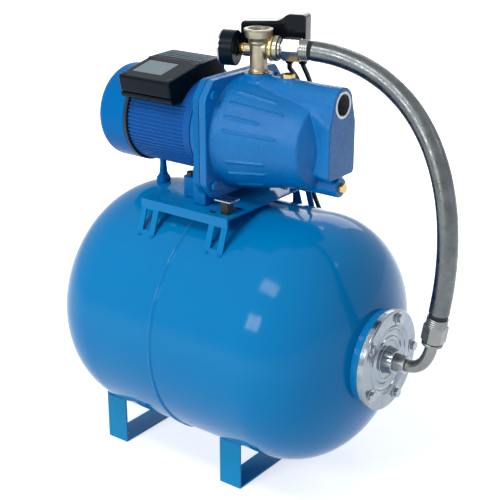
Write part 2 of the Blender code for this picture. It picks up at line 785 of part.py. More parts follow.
def pump_body(frame):
    """Cast pump body: flange, tapered drum, suction hood with its port, and drain channel."""
    flange_front = JOINT_X + BODY_FLANGE_THICKNESS
    drum = [(JOINT_X + 0.002, 0.0), (JOINT_X + 0.002, drum_radius(JOINT_X + 0.002)),
            (DRUM_FRONT_X, DRUM_FRONT_RADIUS), (NOSE_X, NOSE_RADIUS), (NOSE_X, 0.0)]
    made = piece("pump_body", turned(drum, 28), cast_blue(), frame)
    holes = [circle(BODY_BOLT_RADIUS + GAP, 8, place) for place in body_bolt_places()]
    combine(made, "UNION", prism(flange_outline(), JOINT_X, flange_front, holes=holes))
    sections = [(BARREL_REAR_X, hood_section(BARREL_RADIUS + 0.001, REAR_SHOULDER_Z, FACE_BOTTOM_Z + 0.0115)),
                (DRUM_FRONT_X, hood_section(BARREL_RADIUS + 0.006, REAR_SHOULDER_Z - 0.003, FACE_BOTTOM_Z + 0.0035)),
                (FACE_X - 0.002, hood_section(FACE_HALF_WIDTH, FACE_SHOULDER_Z, FACE_BOTTOM_Z)),
                (FACE_X, hood_section(FACE_HALF_WIDTH - 0.001, FACE_SHOULDER_Z, FACE_BOTTOM_Z + 0.001))]
    combine(made, "UNION", stacked(sections))
    combine(made, "UNION", rod(0.090, FACE_X - 0.0005, DRAIN_BOSS_RADIUS, 16, "X", (0.0, 0.0, DRAIN_Z)))
    combine(made, "UNION", rod(0.050, TOP_BOSS_Z, TOP_BOSS_RADIUS, 16, "Z", (TOP_BOSS_X, 0.0, 0.0)))
    combine(made, "UNION", rod(0.060, PRIMING_BOSS_Z, PRIMING_BOSS_RADIUS, 14, "Z", (PRIMING_X, 0.0, 0.0)))
    combine(made, "UNION", drum_ribs())

    cavity_end = DRUM_FRONT_X - BODY_WALL
    cavity = [(JOINT_X - 0.001, 0.0), (JOINT_X - 0.001, MOUTH_CAVITY_RADIUS),
              (JOINT_X + 0.006, MOUTH_CAVITY_RADIUS),
              (JOINT_X + 0.010, drum_radius(JOINT_X + 0.010) - BODY_WALL - 0.003),
              (cavity_end, DRUM_FRONT_RADIUS - BODY_WALL + 0.0012), (cavity_end, 0.0)]
    combine(made, "DIFFERENCE", turned(cavity, 20))
    port = rod(FACE_X - PORT_DEPTH, FACE_X + 0.001, PORT_BORE_RADIUS, 20, "X", (0.0, 0.0, PORT_Z))
    combine(made, "DIFFERENCE", port)
    passage_x = FACE_X - PORT_DEPTH + NOZZLE_RADIUS + 0.002
    combine(made, "DIFFERENCE", rod(0.0, PORT_Z, NOZZLE_RADIUS, 12, "Z", (passage_x, 0.0, 0.0)))
    nozzle = rod(cavity_end - 0.001, passage_x + 0.002, NOZZLE_RADIUS + GAP, 14)
    combine(made, "DIFFERENCE", nozzle)
    top = rod(0.050, TOP_BOSS_Z + 0.001, COLUMN_THREAD + GAP, 16, "Z", (TOP_BOSS_X, 0.0, 0.0))
    rod(0.050, PRIMING_BOSS_Z + 0.001, PLUG_THREAD_RADIUS + GAP, 12, "Z", (PRIMING_X, 0.0, 0.0), top)
    rod(FACE_X - 0.045, FACE_X + 0.001, PLUG_THREAD_RADIUS + GAP, 12, "X", (0.0, 0.0, DRAIN_Z), top)
    combine(made, "DIFFERENCE", top)


def drum_ribs():
    """Cast ribs along both flanks of the drum, which follow its taper."""
    ribs = bmesh.new()
    flanks = [(58.0, 0.051, 0.118), (43.0, 0.051, 0.138), (28.0, 0.051, 0.108),
              (14.0, 0.051, 0.136), (-18.0, 0.053, 0.118), (-33.0, 0.053, 0.116), (-54.0, 0.053, 0.101)]
    for side in (-1.0, 1.0):
        for degrees, start, end in flanks:
            angle = math.radians(degrees)
            across = Vector((0.0, -side * math.sin(angle), math.cos(angle))) * RIB_WIDTH / 2.0
            outward = Vector((0.0, side * math.cos(angle), math.sin(angle)))
            corners = []
            for x in (start, end):
                low = Vector((x, 0.0, 0.0)) + outward * (drum_radius(x) - 0.003)
                high = Vector((x, 0.0, 0.0)) + outward * (drum_radius(x) + RIB_HEIGHT)
                corners.append([ribs.verts.new(place) for place in
                                (low - across, low + across, high + across * 0.6, high - across * 0.6)])
            skin(ribs, corners, closed=False)
            ribs.faces.new(corners[0])
            ribs.faces.new(corners[1])
    return ribs


def plugs(frame):
    """Brass priming plug on top and drain plug at the front."""
    top = bolt(PRIMING_BOSS_Z + GAP, PRIMING_BOSS_Z + GAP + 0.0055, PRIMING_BOSS_Z - 0.010,
               PRIMING_HEX_RADIUS, PLUG_THREAD_RADIUS, "Z", (PRIMING_X, 0.0, 0.0))
    piece("priming_plug", top, brass(), frame)
    face = FACE_X - 0.0005 + GAP
    front = bolt(face, face + 0.0060, FACE_X - 0.012, DRAIN_HEX_RADIUS + 0.0015,
                 PLUG_THREAD_RADIUS, "X", (0.0, 0.0, DRAIN_Z))
    piece("drain_plug", front, brass(), frame)


def motor_adapter(frame):
    """Casting between motor and pump: bearing seat, seal bore, square plate and foot web."""
    face = ADAPTER_FACE_X
    plate_back = face - ADAPTER_PLATE
    spigot = HOUSING_BORE - GAP
    bearing_end = FRONT_BEARING_X + FRONT_BEARING_WIDTH + GAP
    seal_back = face - 0.0095
    fin_tip = HOUSING_RADIUS + FIN_HEIGHT
    profile = [(HOUSING_FRONT_X - ADAPTER_SPIGOT, spigot), (HOUSING_FRONT_X + GAP, spigot),
               (HOUSING_FRONT_X + GAP, fin_tip), (HOUSING_FRONT_X + 0.009, fin_tip + 0.0025),
               (HOUSING_FRONT_X + 0.020, fin_tip + 0.0065), (plate_back + 0.001, fin_tip + 0.0120),
               (face - 0.002, fin_tip + 0.0120), (face - 0.002, SHAFT_SEAL_RADIUS + GAP),
               (seal_back, SHAFT_SEAL_RADIUS + GAP), (seal_back, SHAFT_RADIUS + RUNNING_GAP),
               (bearing_end, SHAFT_RADIUS + RUNNING_GAP), (bearing_end, FRONT_BEARING_RADIUS + GAP),
               (FRONT_BEARING_X, FRONT_BEARING_RADIUS + GAP), (FRONT_BEARING_X, 0.0260),
               (bearing_end, 0.0320), (bearing_end, 0.0500),
               (HOUSING_FRONT_X - ADAPTER_SPIGOT, spigot - 0.0040)]
    made = piece("motor_adapter", turned(profile, MOTOR_SIDES), cast_blue(), frame)
    hole = circle(SHAFT_SEAL_RADIUS + GAP, 20)
    combine(made, "UNION", prism(flange_outline(), plate_back, face, holes=[hole]))
    foot = -FOOT_TO_SHAFT + GAP
    web = [(-WEB_HALF_WIDTH, foot), (-ARCH_HALF_WIDTH, foot)]
    for i in range(1, 6):
        angle = math.pi - math.pi * i / 6.0
        web.append((ARCH_HALF_WIDTH * math.cos(angle), foot + 0.020 * math.sin(angle)))
    web += [(ARCH_HALF_WIDTH, foot), (WEB_HALF_WIDTH, foot), (WEB_HALF_WIDTH, WEB_TOP_Z),
            (0.070, WEB_TOP_Z + 0.010), (-0.070, WEB_TOP_Z + 0.010), (-WEB_HALF_WIDTH, WEB_TOP_Z)]
    combine(made, "UNION", prism(web, face - 0.0005 - WEB_THICKNESS, face - 0.0005))
    for side in (-1.0, 1.0):
        outline = [(face - 0.010, side * LUG_Y - LUG_RADIUS), (face - 0.010, side * LUG_Y + LUG_RADIUS),
                   (LUG_X, side * LUG_Y + LUG_RADIUS)]
        for i in range(1, 8):
            angle = math.pi / 2.0 + math.pi * i / 8.0
            outline.append((LUG_X + LUG_RADIUS * math.cos(angle), side * LUG_Y + LUG_RADIUS * math.sin(angle)))
        outline.append((LUG_X, side * LUG_Y - LUG_RADIUS))
        combine(made, "UNION", prism(outline, foot + 0.0001, foot + LUG_HEIGHT, "Z"))
    holes = bmesh.new()
    for side in (-1.0, 1.0):
        rod(foot - 0.001, foot + LUG_HEIGHT + 0.001, 0.0043, 8, "Z", (LUG_X, side * LUG_Y, 0.0), holes)
    for y, z in body_bolt_places():
        rod(face - BODY_BOLT_GRIP - GAP, face + 0.001, BODY_BOLT_RADIUS + GAP, 8, "X", (0.0, y, z), holes)
    combine(made, "DIFFERENCE", holes)


def fasteners(frame):
    """Body bolts from the front, and the bolts that hold the foot lugs to the bracket."""
    head = JOINT_X + BODY_FLANGE_THICKNESS + GAP
    for number, (y, z) in enumerate(body_bolt_places(), 1):
        made = bolt(head, head + BOLT_HEAD_HEIGHT, ADAPTER_FACE_X - BODY_BOLT_GRIP,
                    BOLT_HEAD_RADIUS, BODY_BOLT_RADIUS, "X", (0.0, y, z))
        piece(f"body_bolt_{number}", made, zinc(), frame)
    lug_top = -FOOT_TO_SHAFT + GAP + LUG_HEIGHT
    for name, side in (("foot_bolt_front", -1.0), ("foot_bolt_back", 1.0)):
        made = bolt(lug_top + GAP, lug_top + GAP + 0.0060, -FOOT_TO_SHAFT - BRACKET_SHEET - 0.002,
                    0.0080, 0.0039, "Z", (LUG_X, side * LUG_Y, 0.0))
        piece(name, made, slate_black(), frame)


def buffers(frame):
    """Rubber buffers in front of the foot web, each moulded under a zinc plate."""
    foot = -FOOT_TO_SHAFT
    front = BODY_FLANGE_THICKNESS + JOINT_X + GAP
    for name, side in (("foot_buffer_front", -1.0), ("foot_buffer_back", 1.0)):
        low = min(side * 0.078, side * 0.093)
        high = max(side * 0.078, side * 0.093)
        made = piece(name, box(0.0585, 0.0715, low, high, foot + GAP, foot + 0.0190),
                     black_rubber(), frame)
        low = min(side * 0.066, side * 0.0935)
        high = max(side * 0.066, side * 0.0935)
        combine(made, "UNION", box(front, 0.0760, low, high, foot + 0.0180, foot + 0.0205))


def impeller(frame):
    """Closed impeller: two shrouds, a hub and curved vanes between them."""
    back = IMPELLER_X
    front = IMPELLER_X + IMPELLER_WIDTH
    seat = IMPELLER_SEAT_RADIUS + GAP
    hub = 0.0120
    eye = 0.0185
    profile = [(back, seat), (front + 0.001, seat), (front + 0.001, hub - 0.002),
               (front - 0.003, hub), (back + SHROUD_THICKNESS, hub + 0.006),
               (back + SHROUD_THICKNESS, IMPELLER_RADIUS), (back, IMPELLER_RADIUS)]
    made = piece("impeller", turned(profile, 16), grey_plastic(), frame)
    for k in range(IMPELLER_VANES):
        outline = []
        inner = []
        for i in range(4):
            share = i / 3.0
            radius = hub - 0.001 + (IMPELLER_RADIUS - 0.0005 - hub + 0.001) * share
            angle = 2.0 * math.pi * k / IMPELLER_VANES - 1.05 * share
            width = 0.0011
            outline.append(((radius) * math.cos(angle + width / radius), radius * math.sin(angle + width / radius)))
            inner.append((radius * math.cos(angle - width / radius), radius * math.sin(angle - width / radius)))
        vane = prism(outline + list(reversed(inner)), back + 0.001, front - 0.001)
        combine(made, "UNION", vane)
    ring = [(front - SHROUD_THICKNESS, eye), (front, eye), (front, IMPELLER_RADIUS),
            (front - SHROUD_THICKNESS, IMPELLER_RADIUS)]
    combine(made, "UNION", turned(ring, 16))


def diffuser(frame):
    """Cup round the impeller with side windows, and the venturi tube moulded on its middle."""
    back = ADAPTER_FACE_X + GAP
    front = back + DIFFUSER_DEPTH
    wall = DIFFUSER_WALL
    tip = front + VENTURI_LENGTH
    throat = VENTURI_RADIUS - wall
    profile = [(back, DIFFUSER_RADIUS - wall), (back, DIFFUSER_RADIUS), (front, DIFFUSER_RADIUS),
               (front, 0.0220), (front + 0.008, VENTURI_RADIUS + 0.003), (front + 0.020, VENTURI_RADIUS),
               (tip - 0.022, 0.0075), (tip, 0.0120), (tip, 0.0100), (tip - 0.020, 0.0050),
               (front, throat), (front - wall, throat), (front - wall, DIFFUSER_RADIUS - wall)]
    made = piece("diffuser", turned(profile, 16), grey_plastic(), frame)
    for k in range(4):
        window = box(IMPELLER_X + 0.001, IMPELLER_X + 0.011, -0.080, 0.080, -0.0075, 0.0075)
        bmesh.ops.rotate(window, verts=window.verts, cent=(0.0, 0.0, 0.0),
                         matrix=Matrix.Rotation(math.pi * (k + 0.5) / 4.0, 3, "X"))
        combine(made, "DIFFERENCE", window)


def ejector(frame):
    """Nozzle in the body's partition, aimed into the venturi."""
    wall = DRUM_FRONT_X - BODY_WALL
    profile = [(wall + 0.010, NOZZLE_RADIUS), (wall + 0.010, NOZZLE_RADIUS - 0.003),
               (wall - 0.003, NOZZLE_RADIUS - 0.004), (wall + 0.010 - NOZZLE_LENGTH, 0.0035),
               (wall + 0.010 - NOZZLE_LENGTH, 0.0055), (wall - 0.004, NOZZLE_RADIUS),
               (wall - 0.004, NOZZLE_RADIUS + 0.003), (wall - GAP, NOZZLE_RADIUS + 0.003),
               (wall - GAP, NOZZLE_RADIUS)]
    piece("ejector_nozzle", turned(profile, 12), brass(), frame)


def shaft_seal(fixed_frame, rotor_frame):
    """Mechanical seal: a fixed seat in the adapter and a head that turns with the shaft."""
    seat_back = ADAPTER_FACE_X - 0.0095 + GAP
    seat_front = ADAPTER_FACE_X - 0.0010
    bore = FRONT_SEAT_RADIUS + RUNNING_GAP
    profile = [(seat_back, bore), (seat_back, SHAFT_SEAL_RADIUS), (seat_front, SHAFT_SEAL_RADIUS),
               (seat_front, bore)]
    piece("shaft_seal_seat", turned(profile, 16), white_plastic(), fixed_frame)
    low = seat_front + GAP
    high = IMPELLER_X - GAP
    bore = FRONT_SEAT_RADIUS - 0.0006 + GAP
    profile = [(low, bore), (low, SHAFT_SEAL_RADIUS - 0.003), (low + 0.002, SHAFT_SEAL_RADIUS - 0.001),
               (high, SHAFT_SEAL_RADIUS - 0.001), (high, bore)]
    piece("shaft_seal_head", turned(profile, 16), steel(), rotor_frame)


def rotor(frame):
    """Shaft and laminated core, which turn with the fan and the impeller."""
    fan_front = FAN_X + FAN_HUB_LENGTH + GAP
    rear_seat_end = REAR_BEARING_X + REAR_BEARING_WIDTH + GAP
    seal_radius = FRONT_SEAT_RADIUS - 0.0006
    profile = [(FAN_X - 0.003, 0.0), (FAN_X - 0.003, FAN_SEAT_RADIUS), (fan_front, FAN_SEAT_RADIUS),
               (fan_front, REAR_SEAT_RADIUS), (rear_seat_end, REAR_SEAT_RADIUS),
               (rear_seat_end, SHAFT_RADIUS), (FRONT_BEARING_X - GAP, SHAFT_RADIUS),
               (FRONT_BEARING_X - GAP, FRONT_SEAT_RADIUS),
               (FRONT_BEARING_X + FRONT_BEARING_WIDTH + GAP, FRONT_SEAT_RADIUS),
               (FRONT_BEARING_X + FRONT_BEARING_WIDTH + GAP, seal_radius),
               (IMPELLER_X - GAP, seal_radius), (IMPELLER_X - GAP, IMPELLER_SEAT_RADIUS),
               (IMPELLER_X + IMPELLER_WIDTH + 0.004, IMPELLER_SEAT_RADIUS),
               (IMPELLER_X + IMPELLER_WIDTH + 0.004, 0.0)]
    piece("rotor_shaft", turned(profile, 14), steel(), frame)
    radius = STATOR_BORE - RUNNING_GAP
    profile = [(STACK_REAR_X, SHAFT_RADIUS + GAP), (STACK_REAR_X, radius), (STACK_FRONT_X, radius),
               (STACK_FRONT_X, SHAFT_RADIUS + GAP)]
    piece("rotor_core", turned(profile, 20), lamination(), frame)


def bearings(frame):
    """Sealed front and rear bearings."""
    places = (("front_bearing", FRONT_BEARING_X, FRONT_BEARING_WIDTH, FRONT_BEARING_RADIUS, FRONT_SEAT_RADIUS),
              ("rear_bearing", REAR_BEARING_X, REAR_BEARING_WIDTH, REAR_BEARING_RADIUS, REAR_SEAT_RADIUS))
    for name, x, width, radius, seat in places:
        profile = [(x, seat + GAP), (x, radius), (x + width, radius), (x + width, seat + GAP)]
        piece(name, turned(profile, 16), steel(), frame)


def stator(frame):
    """Wound stator in the housing: laminated stack with its end windings."""
    radius = HOUSING_BORE - GAP
    rear = STACK_REAR_X
    front = STACK_FRONT_X
    end = WINDING_LENGTH
    profile = [(rear, STATOR_BORE), (rear, WINDING_INNER + 0.002), (rear - end * 0.2, WINDING_INNER),
               (rear - end, WINDING_INNER + 0.004), (rear - end, WINDING_OUTER - 0.004),
               (rear - end * 0.85, WINDING_OUTER), (rear, WINDING_OUTER - 0.001), (rear, radius),
               (front, radius), (front, WINDING_OUTER - 0.001), (front + end * 0.85, WINDING_OUTER),
               (front + end, WINDING_OUTER - 0.004), (front + end, WINDING_INNER + 0.004),
               (front + end * 0.2, WINDING_INNER), (front, WINDING_INNER + 0.002), (front, STATOR_BORE)]
    piece("wound_stator", turned(profile, MOTOR_SIDES), lamination(), frame)


def motor_housing(frame):
    """Finned barrel of the motor."""
    outline = []
    pitch = 2.0 * math.pi / FINS
    tip = HOUSING_RADIUS + FIN_HEIGHT
    for i in range(FINS):
        middle = pitch * i
        half = pitch * FIN_FILL / 2.0
        for angle, radius in ((middle - half, HOUSING_RADIUS), (middle - half * 0.6, tip),
                              (middle + half * 0.6, tip), (middle + half, HOUSING_RADIUS)):
            outline.append((radius * math.cos(angle), radius * math.sin(angle)))
    hole = circle(HOUSING_BORE, MOTOR_SIDES)
    piece("motor_housing", prism(outline, HOUSING_REAR_X, HOUSING_FRONT_X, holes=[hole]), motor_blue(), frame)


def end_shield(frame):
    """Rear shield: a rim that carries the fan cover, a spigot in the housing and the bearing seat."""
    front = HOUSING_REAR_X - GAP
    back = front - SHIELD_THICKNESS
    spigot = HOUSING_BORE - GAP
    seat_end = REAR_BEARING_X + REAR_BEARING_WIDTH + GAP
    lip = COVER_RADIUS - COVER_SHEET - GAP
    profile = [(back - COVER_LAP, lip), (back, lip), (back, COVER_RADIUS), (front, COVER_RADIUS),
               (front, spigot), (front + 0.004, spigot), (front + 0.004, spigot - 0.004),
               (front, spigot - 0.006), (front - 0.002, 0.0240), (seat_end + 0.003, 0.0200),
               (seat_end + 0.003, REAR_SEAT_RADIUS + 0.003), (seat_end, REAR_SEAT_RADIUS + 0.003),
               (seat_end, REAR_BEARING_RADIUS + GAP), (SHIELD_REAR_X, REAR_BEARING_RADIUS + GAP),
               (SHIELD_REAR_X, REAR_BEARING_RADIUS + 0.004), (back, REAR_BEARING_RADIUS + 0.007),
               (back, lip - 0.003), (back - COVER_LAP, lip - 0.003)]
    piece("motor_end_shield", turned(profile, MOTOR_SIDES), slate_black(), frame)


def cooling_fan(frame):
    """Radial fan on the rear shaft end."""
    seat = FAN_SEAT_RADIUS + GAP
    back = FAN_X
    front = FAN_X + FAN_HUB_LENGTH
    profile = [(back, seat), (back, 0.0125), (front - 0.008, 0.0150), (front - 0.006, FAN_RADIUS * 0.62),
               (front - 0.004, FAN_RADIUS * 0.62), (front - 0.004, 0.0150), (front, 0.0125), (front, seat)]
    made = piece("cooling_fan", turned(profile, 14), slate_black(), frame)
    for k in range(FAN_BLADES):
        blade = box(back + 0.002, front - 0.0045, 0.0130, FAN_RADIUS, -0.0011, 0.0011)
        bmesh.ops.rotate(blade, verts=blade.verts, cent=(0.0, 0.0, 0.0),
                         matrix=Matrix.Rotation(2.0 * math.pi * k / FAN_BLADES, 3, "X"))
        combine(made, "UNION", blade)


def fan_cover(frame):
    """Pressed cup over the fan, with slots in its rear face."""
    radius = COVER_RADIUS
    inner = radius - COVER_SHEET
    outer_arc = []
    inner_arc = []
    for i in range(4):
        angle = math.pi / 2.0 * i / 3.0
        outer_arc.append((COVER_REAR_X + COVER_ROUNDING * (1.0 - math.sin(angle)),
                          radius - COVER_ROUNDING * (1.0 - math.cos(angle))))
        inner_arc.append((COVER_REAR_X + COVER_SHEET + (COVER_ROUNDING - COVER_SHEET) * (1.0 - math.sin(angle)),
                          inner - (COVER_ROUNDING - COVER_SHEET) * (1.0 - math.cos(angle))))
    front = HOUSING_REAR_X - GAP - SHIELD_THICKNESS - GAP
    profile = [(front, inner), (front, radius)] + outer_arc
    profile += [(COVER_REAR_X, 0.0), (COVER_REAR_X + COVER_SHEET, 0.0)] + list(reversed(inner_arc))
    bm = bmesh.new()
    rings = []
    for along, place in profile:
        if place < 1e-6:
            rings.append([bm.verts.new((along, 0.0, 0.0))])
        else:
            rings.append([bm.verts.new((along, y, z)) for y, z in circle(place, MOTOR_SIDES)])
    pole = next(i for i, ring in enumerate(rings) if len(ring) == 1)
    skin(bm, rings[:pole + 1], closed=False)
    skin(bm, rings[pole + 1:] + [rings[0]], closed=False)
    made = piece("fan_cover", bm, cast_blue(), frame)
    slots = bmesh.new()
    for k in range(COVER_SLOTS):
        angle = 2.0 * math.pi * k / COVER_SLOTS
        bar = box(COVER_REAR_X - 0.002, COVER_REAR_X + COVER_SHEET + 0.002, 0.022, 0.056, -0.0022, 0.0022)
        bmesh.ops.rotate(bar, verts=bar.verts, cent=(0.0, 0.0, 0.0), matrix=Matrix.Rotation(angle, 3, "X"))
        shape = bpy.data.meshes.new("bar")
        bar.to_mesh(shape)
        bar.free()
        slots.from_mesh(shape)
        bpy.data.meshes.remove(shape)
    combine(made, "DIFFERENCE", slots)


def motor_foot(frame):
    """Waisted support under the motor's rear, standing on the tank."""
    tank_top = TANK_Z + TANK_RADIUS - SHAFT_Z
    top = -HOUSING_RADIUS - FIN_HEIGHT + 0.010
    low = tank_top - 0.010

    def section(width, depth):
        w = width / 2.0
        d = depth / 2.0
        c = min(w, d) * 0.45
        return [(w, -d + c), (w, d - c), (w - c, d), (-w + c, d), (-w, d - c), (-w, -d + c),
                (-w + c, -d), (w - c, -d)]

    waist = MOTOR_FOOT_WIDTH * 0.5
    sections = [(low, section(MOTOR_FOOT_WIDTH, MOTOR_FOOT_DEPTH)),
                (tank_top + 0.006, section(MOTOR_FOOT_WIDTH, MOTOR_FOOT_DEPTH)),
                (tank_top + 0.013, section(waist * 1.15, MOTOR_FOOT_DEPTH * 0.62)),
                (tank_top + 0.028, section(waist, MOTOR_FOOT_DEPTH * 0.45)),
                (top - 0.012, section(waist, MOTOR_FOOT_DEPTH * 0.45)),
                (top, section(waist * 1.3, MOTOR_FOOT_DEPTH * 0.70))]
    made = piece("motor_foot", stacked(sections, "Z", (MOTOR_FOOT_X, 0.0, 0.0)), cast_blue(), frame)
    tip = HOUSING_RADIUS + FIN_HEIGHT + GAP
    combine(made, "DIFFERENCE", rod(HOUSING_REAR_X - 0.02, HOUSING_FRONT_X, tip, 64))
    envelope = tank_envelope(GAP)
    bmesh.ops.translate(envelope, verts=envelope.verts, vec=(0.0, 0.0, TANK_Z - SHAFT_Z))
    combine(made, "DIFFERENCE", envelope)


def box_outline(inset, low, top_inset):
    """Section of the terminal box lid, seen along X."""
    slope = (BOX_FRONT_Y - BOX_LOW_Y) / (BOX_EDGE_Z - BOX_LIP_Z)
    front_low = BOX_LOW_Y + slope * (low - BOX_LIP_Z)
    return [(front_low + inset, low), (BOX_FRONT_Y + inset, BOX_EDGE_Z - top_inset),
            (BOX_RIDGE_Y + inset * 0.4, BOX_TOP_Z - 0.001 - top_inset),
            (BOX_BACK_Y - 0.007 - inset * 0.6, BOX_TOP_Z + 0.0005 - top_inset),
            (BOX_BACK_Y - inset, BOX_TOP_Z - 0.004 - top_inset), (BOX_BACK_Y - inset, low)]


def terminal_box(frame):
    """Base tray that saddles the housing, lid with a sloping front, and what they hold."""
    tip = HOUSING_RADIUS + FIN_HEIGHT + GAP
    lip = [(BOX_SADDLE_Y, BOX_BOTTOM_Z), (BOX_LOW_Y, BOX_LIP_Z), (BOX_BACK_Y, BOX_LIP_Z),
           (BOX_BACK_Y - 0.001, BOX_BOTTOM_Z)]
    base = piece("terminal_box_base", prism(lip, BOX_REAR_X, BOX_FRONT_X), slate_black(), frame)
    inset = BOX_WALL + 2.0 * GAP
    tray = rectangle(BOX_LOW_Y + inset, BOX_BACK_Y - inset, BOX_LIP_Z - 0.002, BOX_TRAY_Z)
    combine(base, "UNION", prism(tray, BOX_REAR_X + inset, BOX_FRONT_X - inset))
    well = rectangle(BOX_LOW_Y + inset + 0.002, BOX_BACK_Y - inset - 0.002, tip + 0.0025, BOX_TRAY_Z + 0.001)
    combine(base, "DIFFERENCE", prism(well, BOX_REAR_X + inset + 0.002, BOX_FRONT_X - inset - 0.002))
    combine(base, "DIFFERENCE", rod(BOX_REAR_X - 0.01, BOX_FRONT_X + 0.01, tip, 64))

    low = BOX_LIP_Z + GAP
    lid = piece("terminal_box_lid", prism(box_outline(0.0, low, 0.0), BOX_REAR_X, BOX_FRONT_X),
                slate_black(), frame)
    for k in range(4):
        y = BOX_RIDGE_Y + 0.010 + 0.0095 * k
        rib = rectangle(y, y + 0.0045, BOX_TOP_Z - 0.004, BOX_TOP_Z + 0.0022)
        combine(lid, "UNION", prism(rib, BOX_REAR_X + 0.006, BOX_FRONT_X - 0.006))
    hollow = box_outline(BOX_WALL, low - 0.001, BOX_WALL)
    combine(lid, "DIFFERENCE", prism(hollow, BOX_REAR_X + BOX_WALL, BOX_FRONT_X - BOX_WALL))
    combine(lid, "DIFFERENCE", label_recess())
    combine(lid, "DIFFERENCE", rod(BOX_REAR_X - 0.01, BOX_FRONT_X + 0.01, tip, 64))
    combine(lid, "UNION", gland(BOX_BACK_Y, 1.0, "Y", (BOX_GLAND_X, 0.0, BOX_GLAND_Z)))

    floor = tip + 0.0025
    radius = CAPACITOR_RADIUS
    capacitor = turned([(BOX_REAR_X + 0.020, 0.0), (BOX_REAR_X + 0.020, radius),
                        (BOX_REAR_X + 0.072, radius), (BOX_REAR_X + 0.075, radius - 0.0025),
                        (BOX_REAR_X + 0.075, 0.0)], 16, "X", (0.0, 0.024, floor + GAP + radius))
    piece("run_capacitor", capacitor, grey_plastic(), frame)


def front_slope(y):
    """Height of the lid's sloping front at a place across it."""
    share = (y - BOX_FRONT_Y) / (BOX_RIDGE_Y - BOX_FRONT_Y)
    return BOX_EDGE_Z + share * (BOX_TOP_Z - 0.001 - BOX_EDGE_Z)


def label_recess():
    """Shallow pocket for the bare name plate on the sloping front."""
    y_low = BOX_FRONT_Y + 0.012
    y_high = BOX_RIDGE_Y - 0.009
    outline = [(y_low, front_slope(y_low) - LABEL_DEPTH), (y_high, front_slope(y_high) - LABEL_DEPTH),
               (y_high, front_slope(y_high) + 0.004), (y_low, front_slope(y_low) + 0.004)]
    return prism(outline, BOX_REAR_X + 0.014, BOX_REAR_X + 0.080)


def connector(frame):
    """Five-way connector: base thread, open top port, hose port, gauge and switch branches."""
    neck = TOP_PORT_HEIGHT - TOP_PORT_DEPTH
    profile = [(-COLUMN_THREAD_LENGTH, COLUMN_BORE), (-COLUMN_THREAD_LENGTH, COLUMN_THREAD),
               (0.0, COLUMN_THREAD), (0.0, COLUMN_RADIUS + 0.0018), (0.0025, COLUMN_RADIUS + 0.0018),
               (0.0040, COLUMN_RADIUS), (neck - 0.0065, COLUMN_RADIUS), (neck - 0.0055, COLUMN_RADIUS + 0.0022),
               (neck - 0.0025, COLUMN_RADIUS + 0.0022), (neck - 0.0015, COLUMN_RADIUS + 0.0008),
               (neck, COLUMN_RADIUS + 0.0025), (neck + 0.0012, TOP_PORT_ROOT - 0.0012),
               (neck + 0.0026, TOP_PORT_ROOT), (TOP_PORT_HEIGHT - 0.0010, TOP_PORT_RADIUS),
               (TOP_PORT_HEIGHT, TOP_PORT_RADIUS - 0.0008),
               (TOP_PORT_HEIGHT, PORT_BORE_RADIUS), (neck + 0.0015, PORT_BORE_RADIUS),
               (neck - 0.0010, COLUMN_BORE)]
    made = piece("five_way_connector", turned(profile, 18, "Z"), nickel_bronze(), frame)
    side = [(COLUMN_RADIUS - 0.004, 0.0), (COLUMN_RADIUS - 0.004, 0.0125), (COLUMN_RADIUS + 0.0035, 0.0125),
            (COLUMN_RADIUS + 0.0055, 0.0165), (SIDE_PORT_REACH - 0.0010, SIDE_PORT_RADIUS),
            (SIDE_PORT_REACH, SIDE_PORT_RADIUS - 0.0010), (SIDE_PORT_REACH, 0.0)]
    combine(made, "UNION", turned(side, 16, "X", (0.0, 0.0, BRANCH_Z)))
    combine(made, "UNION", rod(-GAUGE_BRANCH_REACH + GAP, -COLUMN_RADIUS + 0.004, GAUGE_BRANCH_RADIUS, 10,
                               "X", (0.0, 0.0, BRANCH_Z - GAUGE_DROP)))
    combine(made, "UNION", rod(COLUMN_RADIUS - 0.004, SWITCH_BRANCH_REACH, SWITCH_BRANCH_RADIUS, 12,
                               "Y", (0.0, 0.0, BRANCH_Z)))
    combine(made, "DIFFERENCE", rod(0.0, SIDE_PORT_REACH + 0.001, COLUMN_BORE - 0.0005, 10,
                                    "X", (0.0, 0.0, BRANCH_Z)))


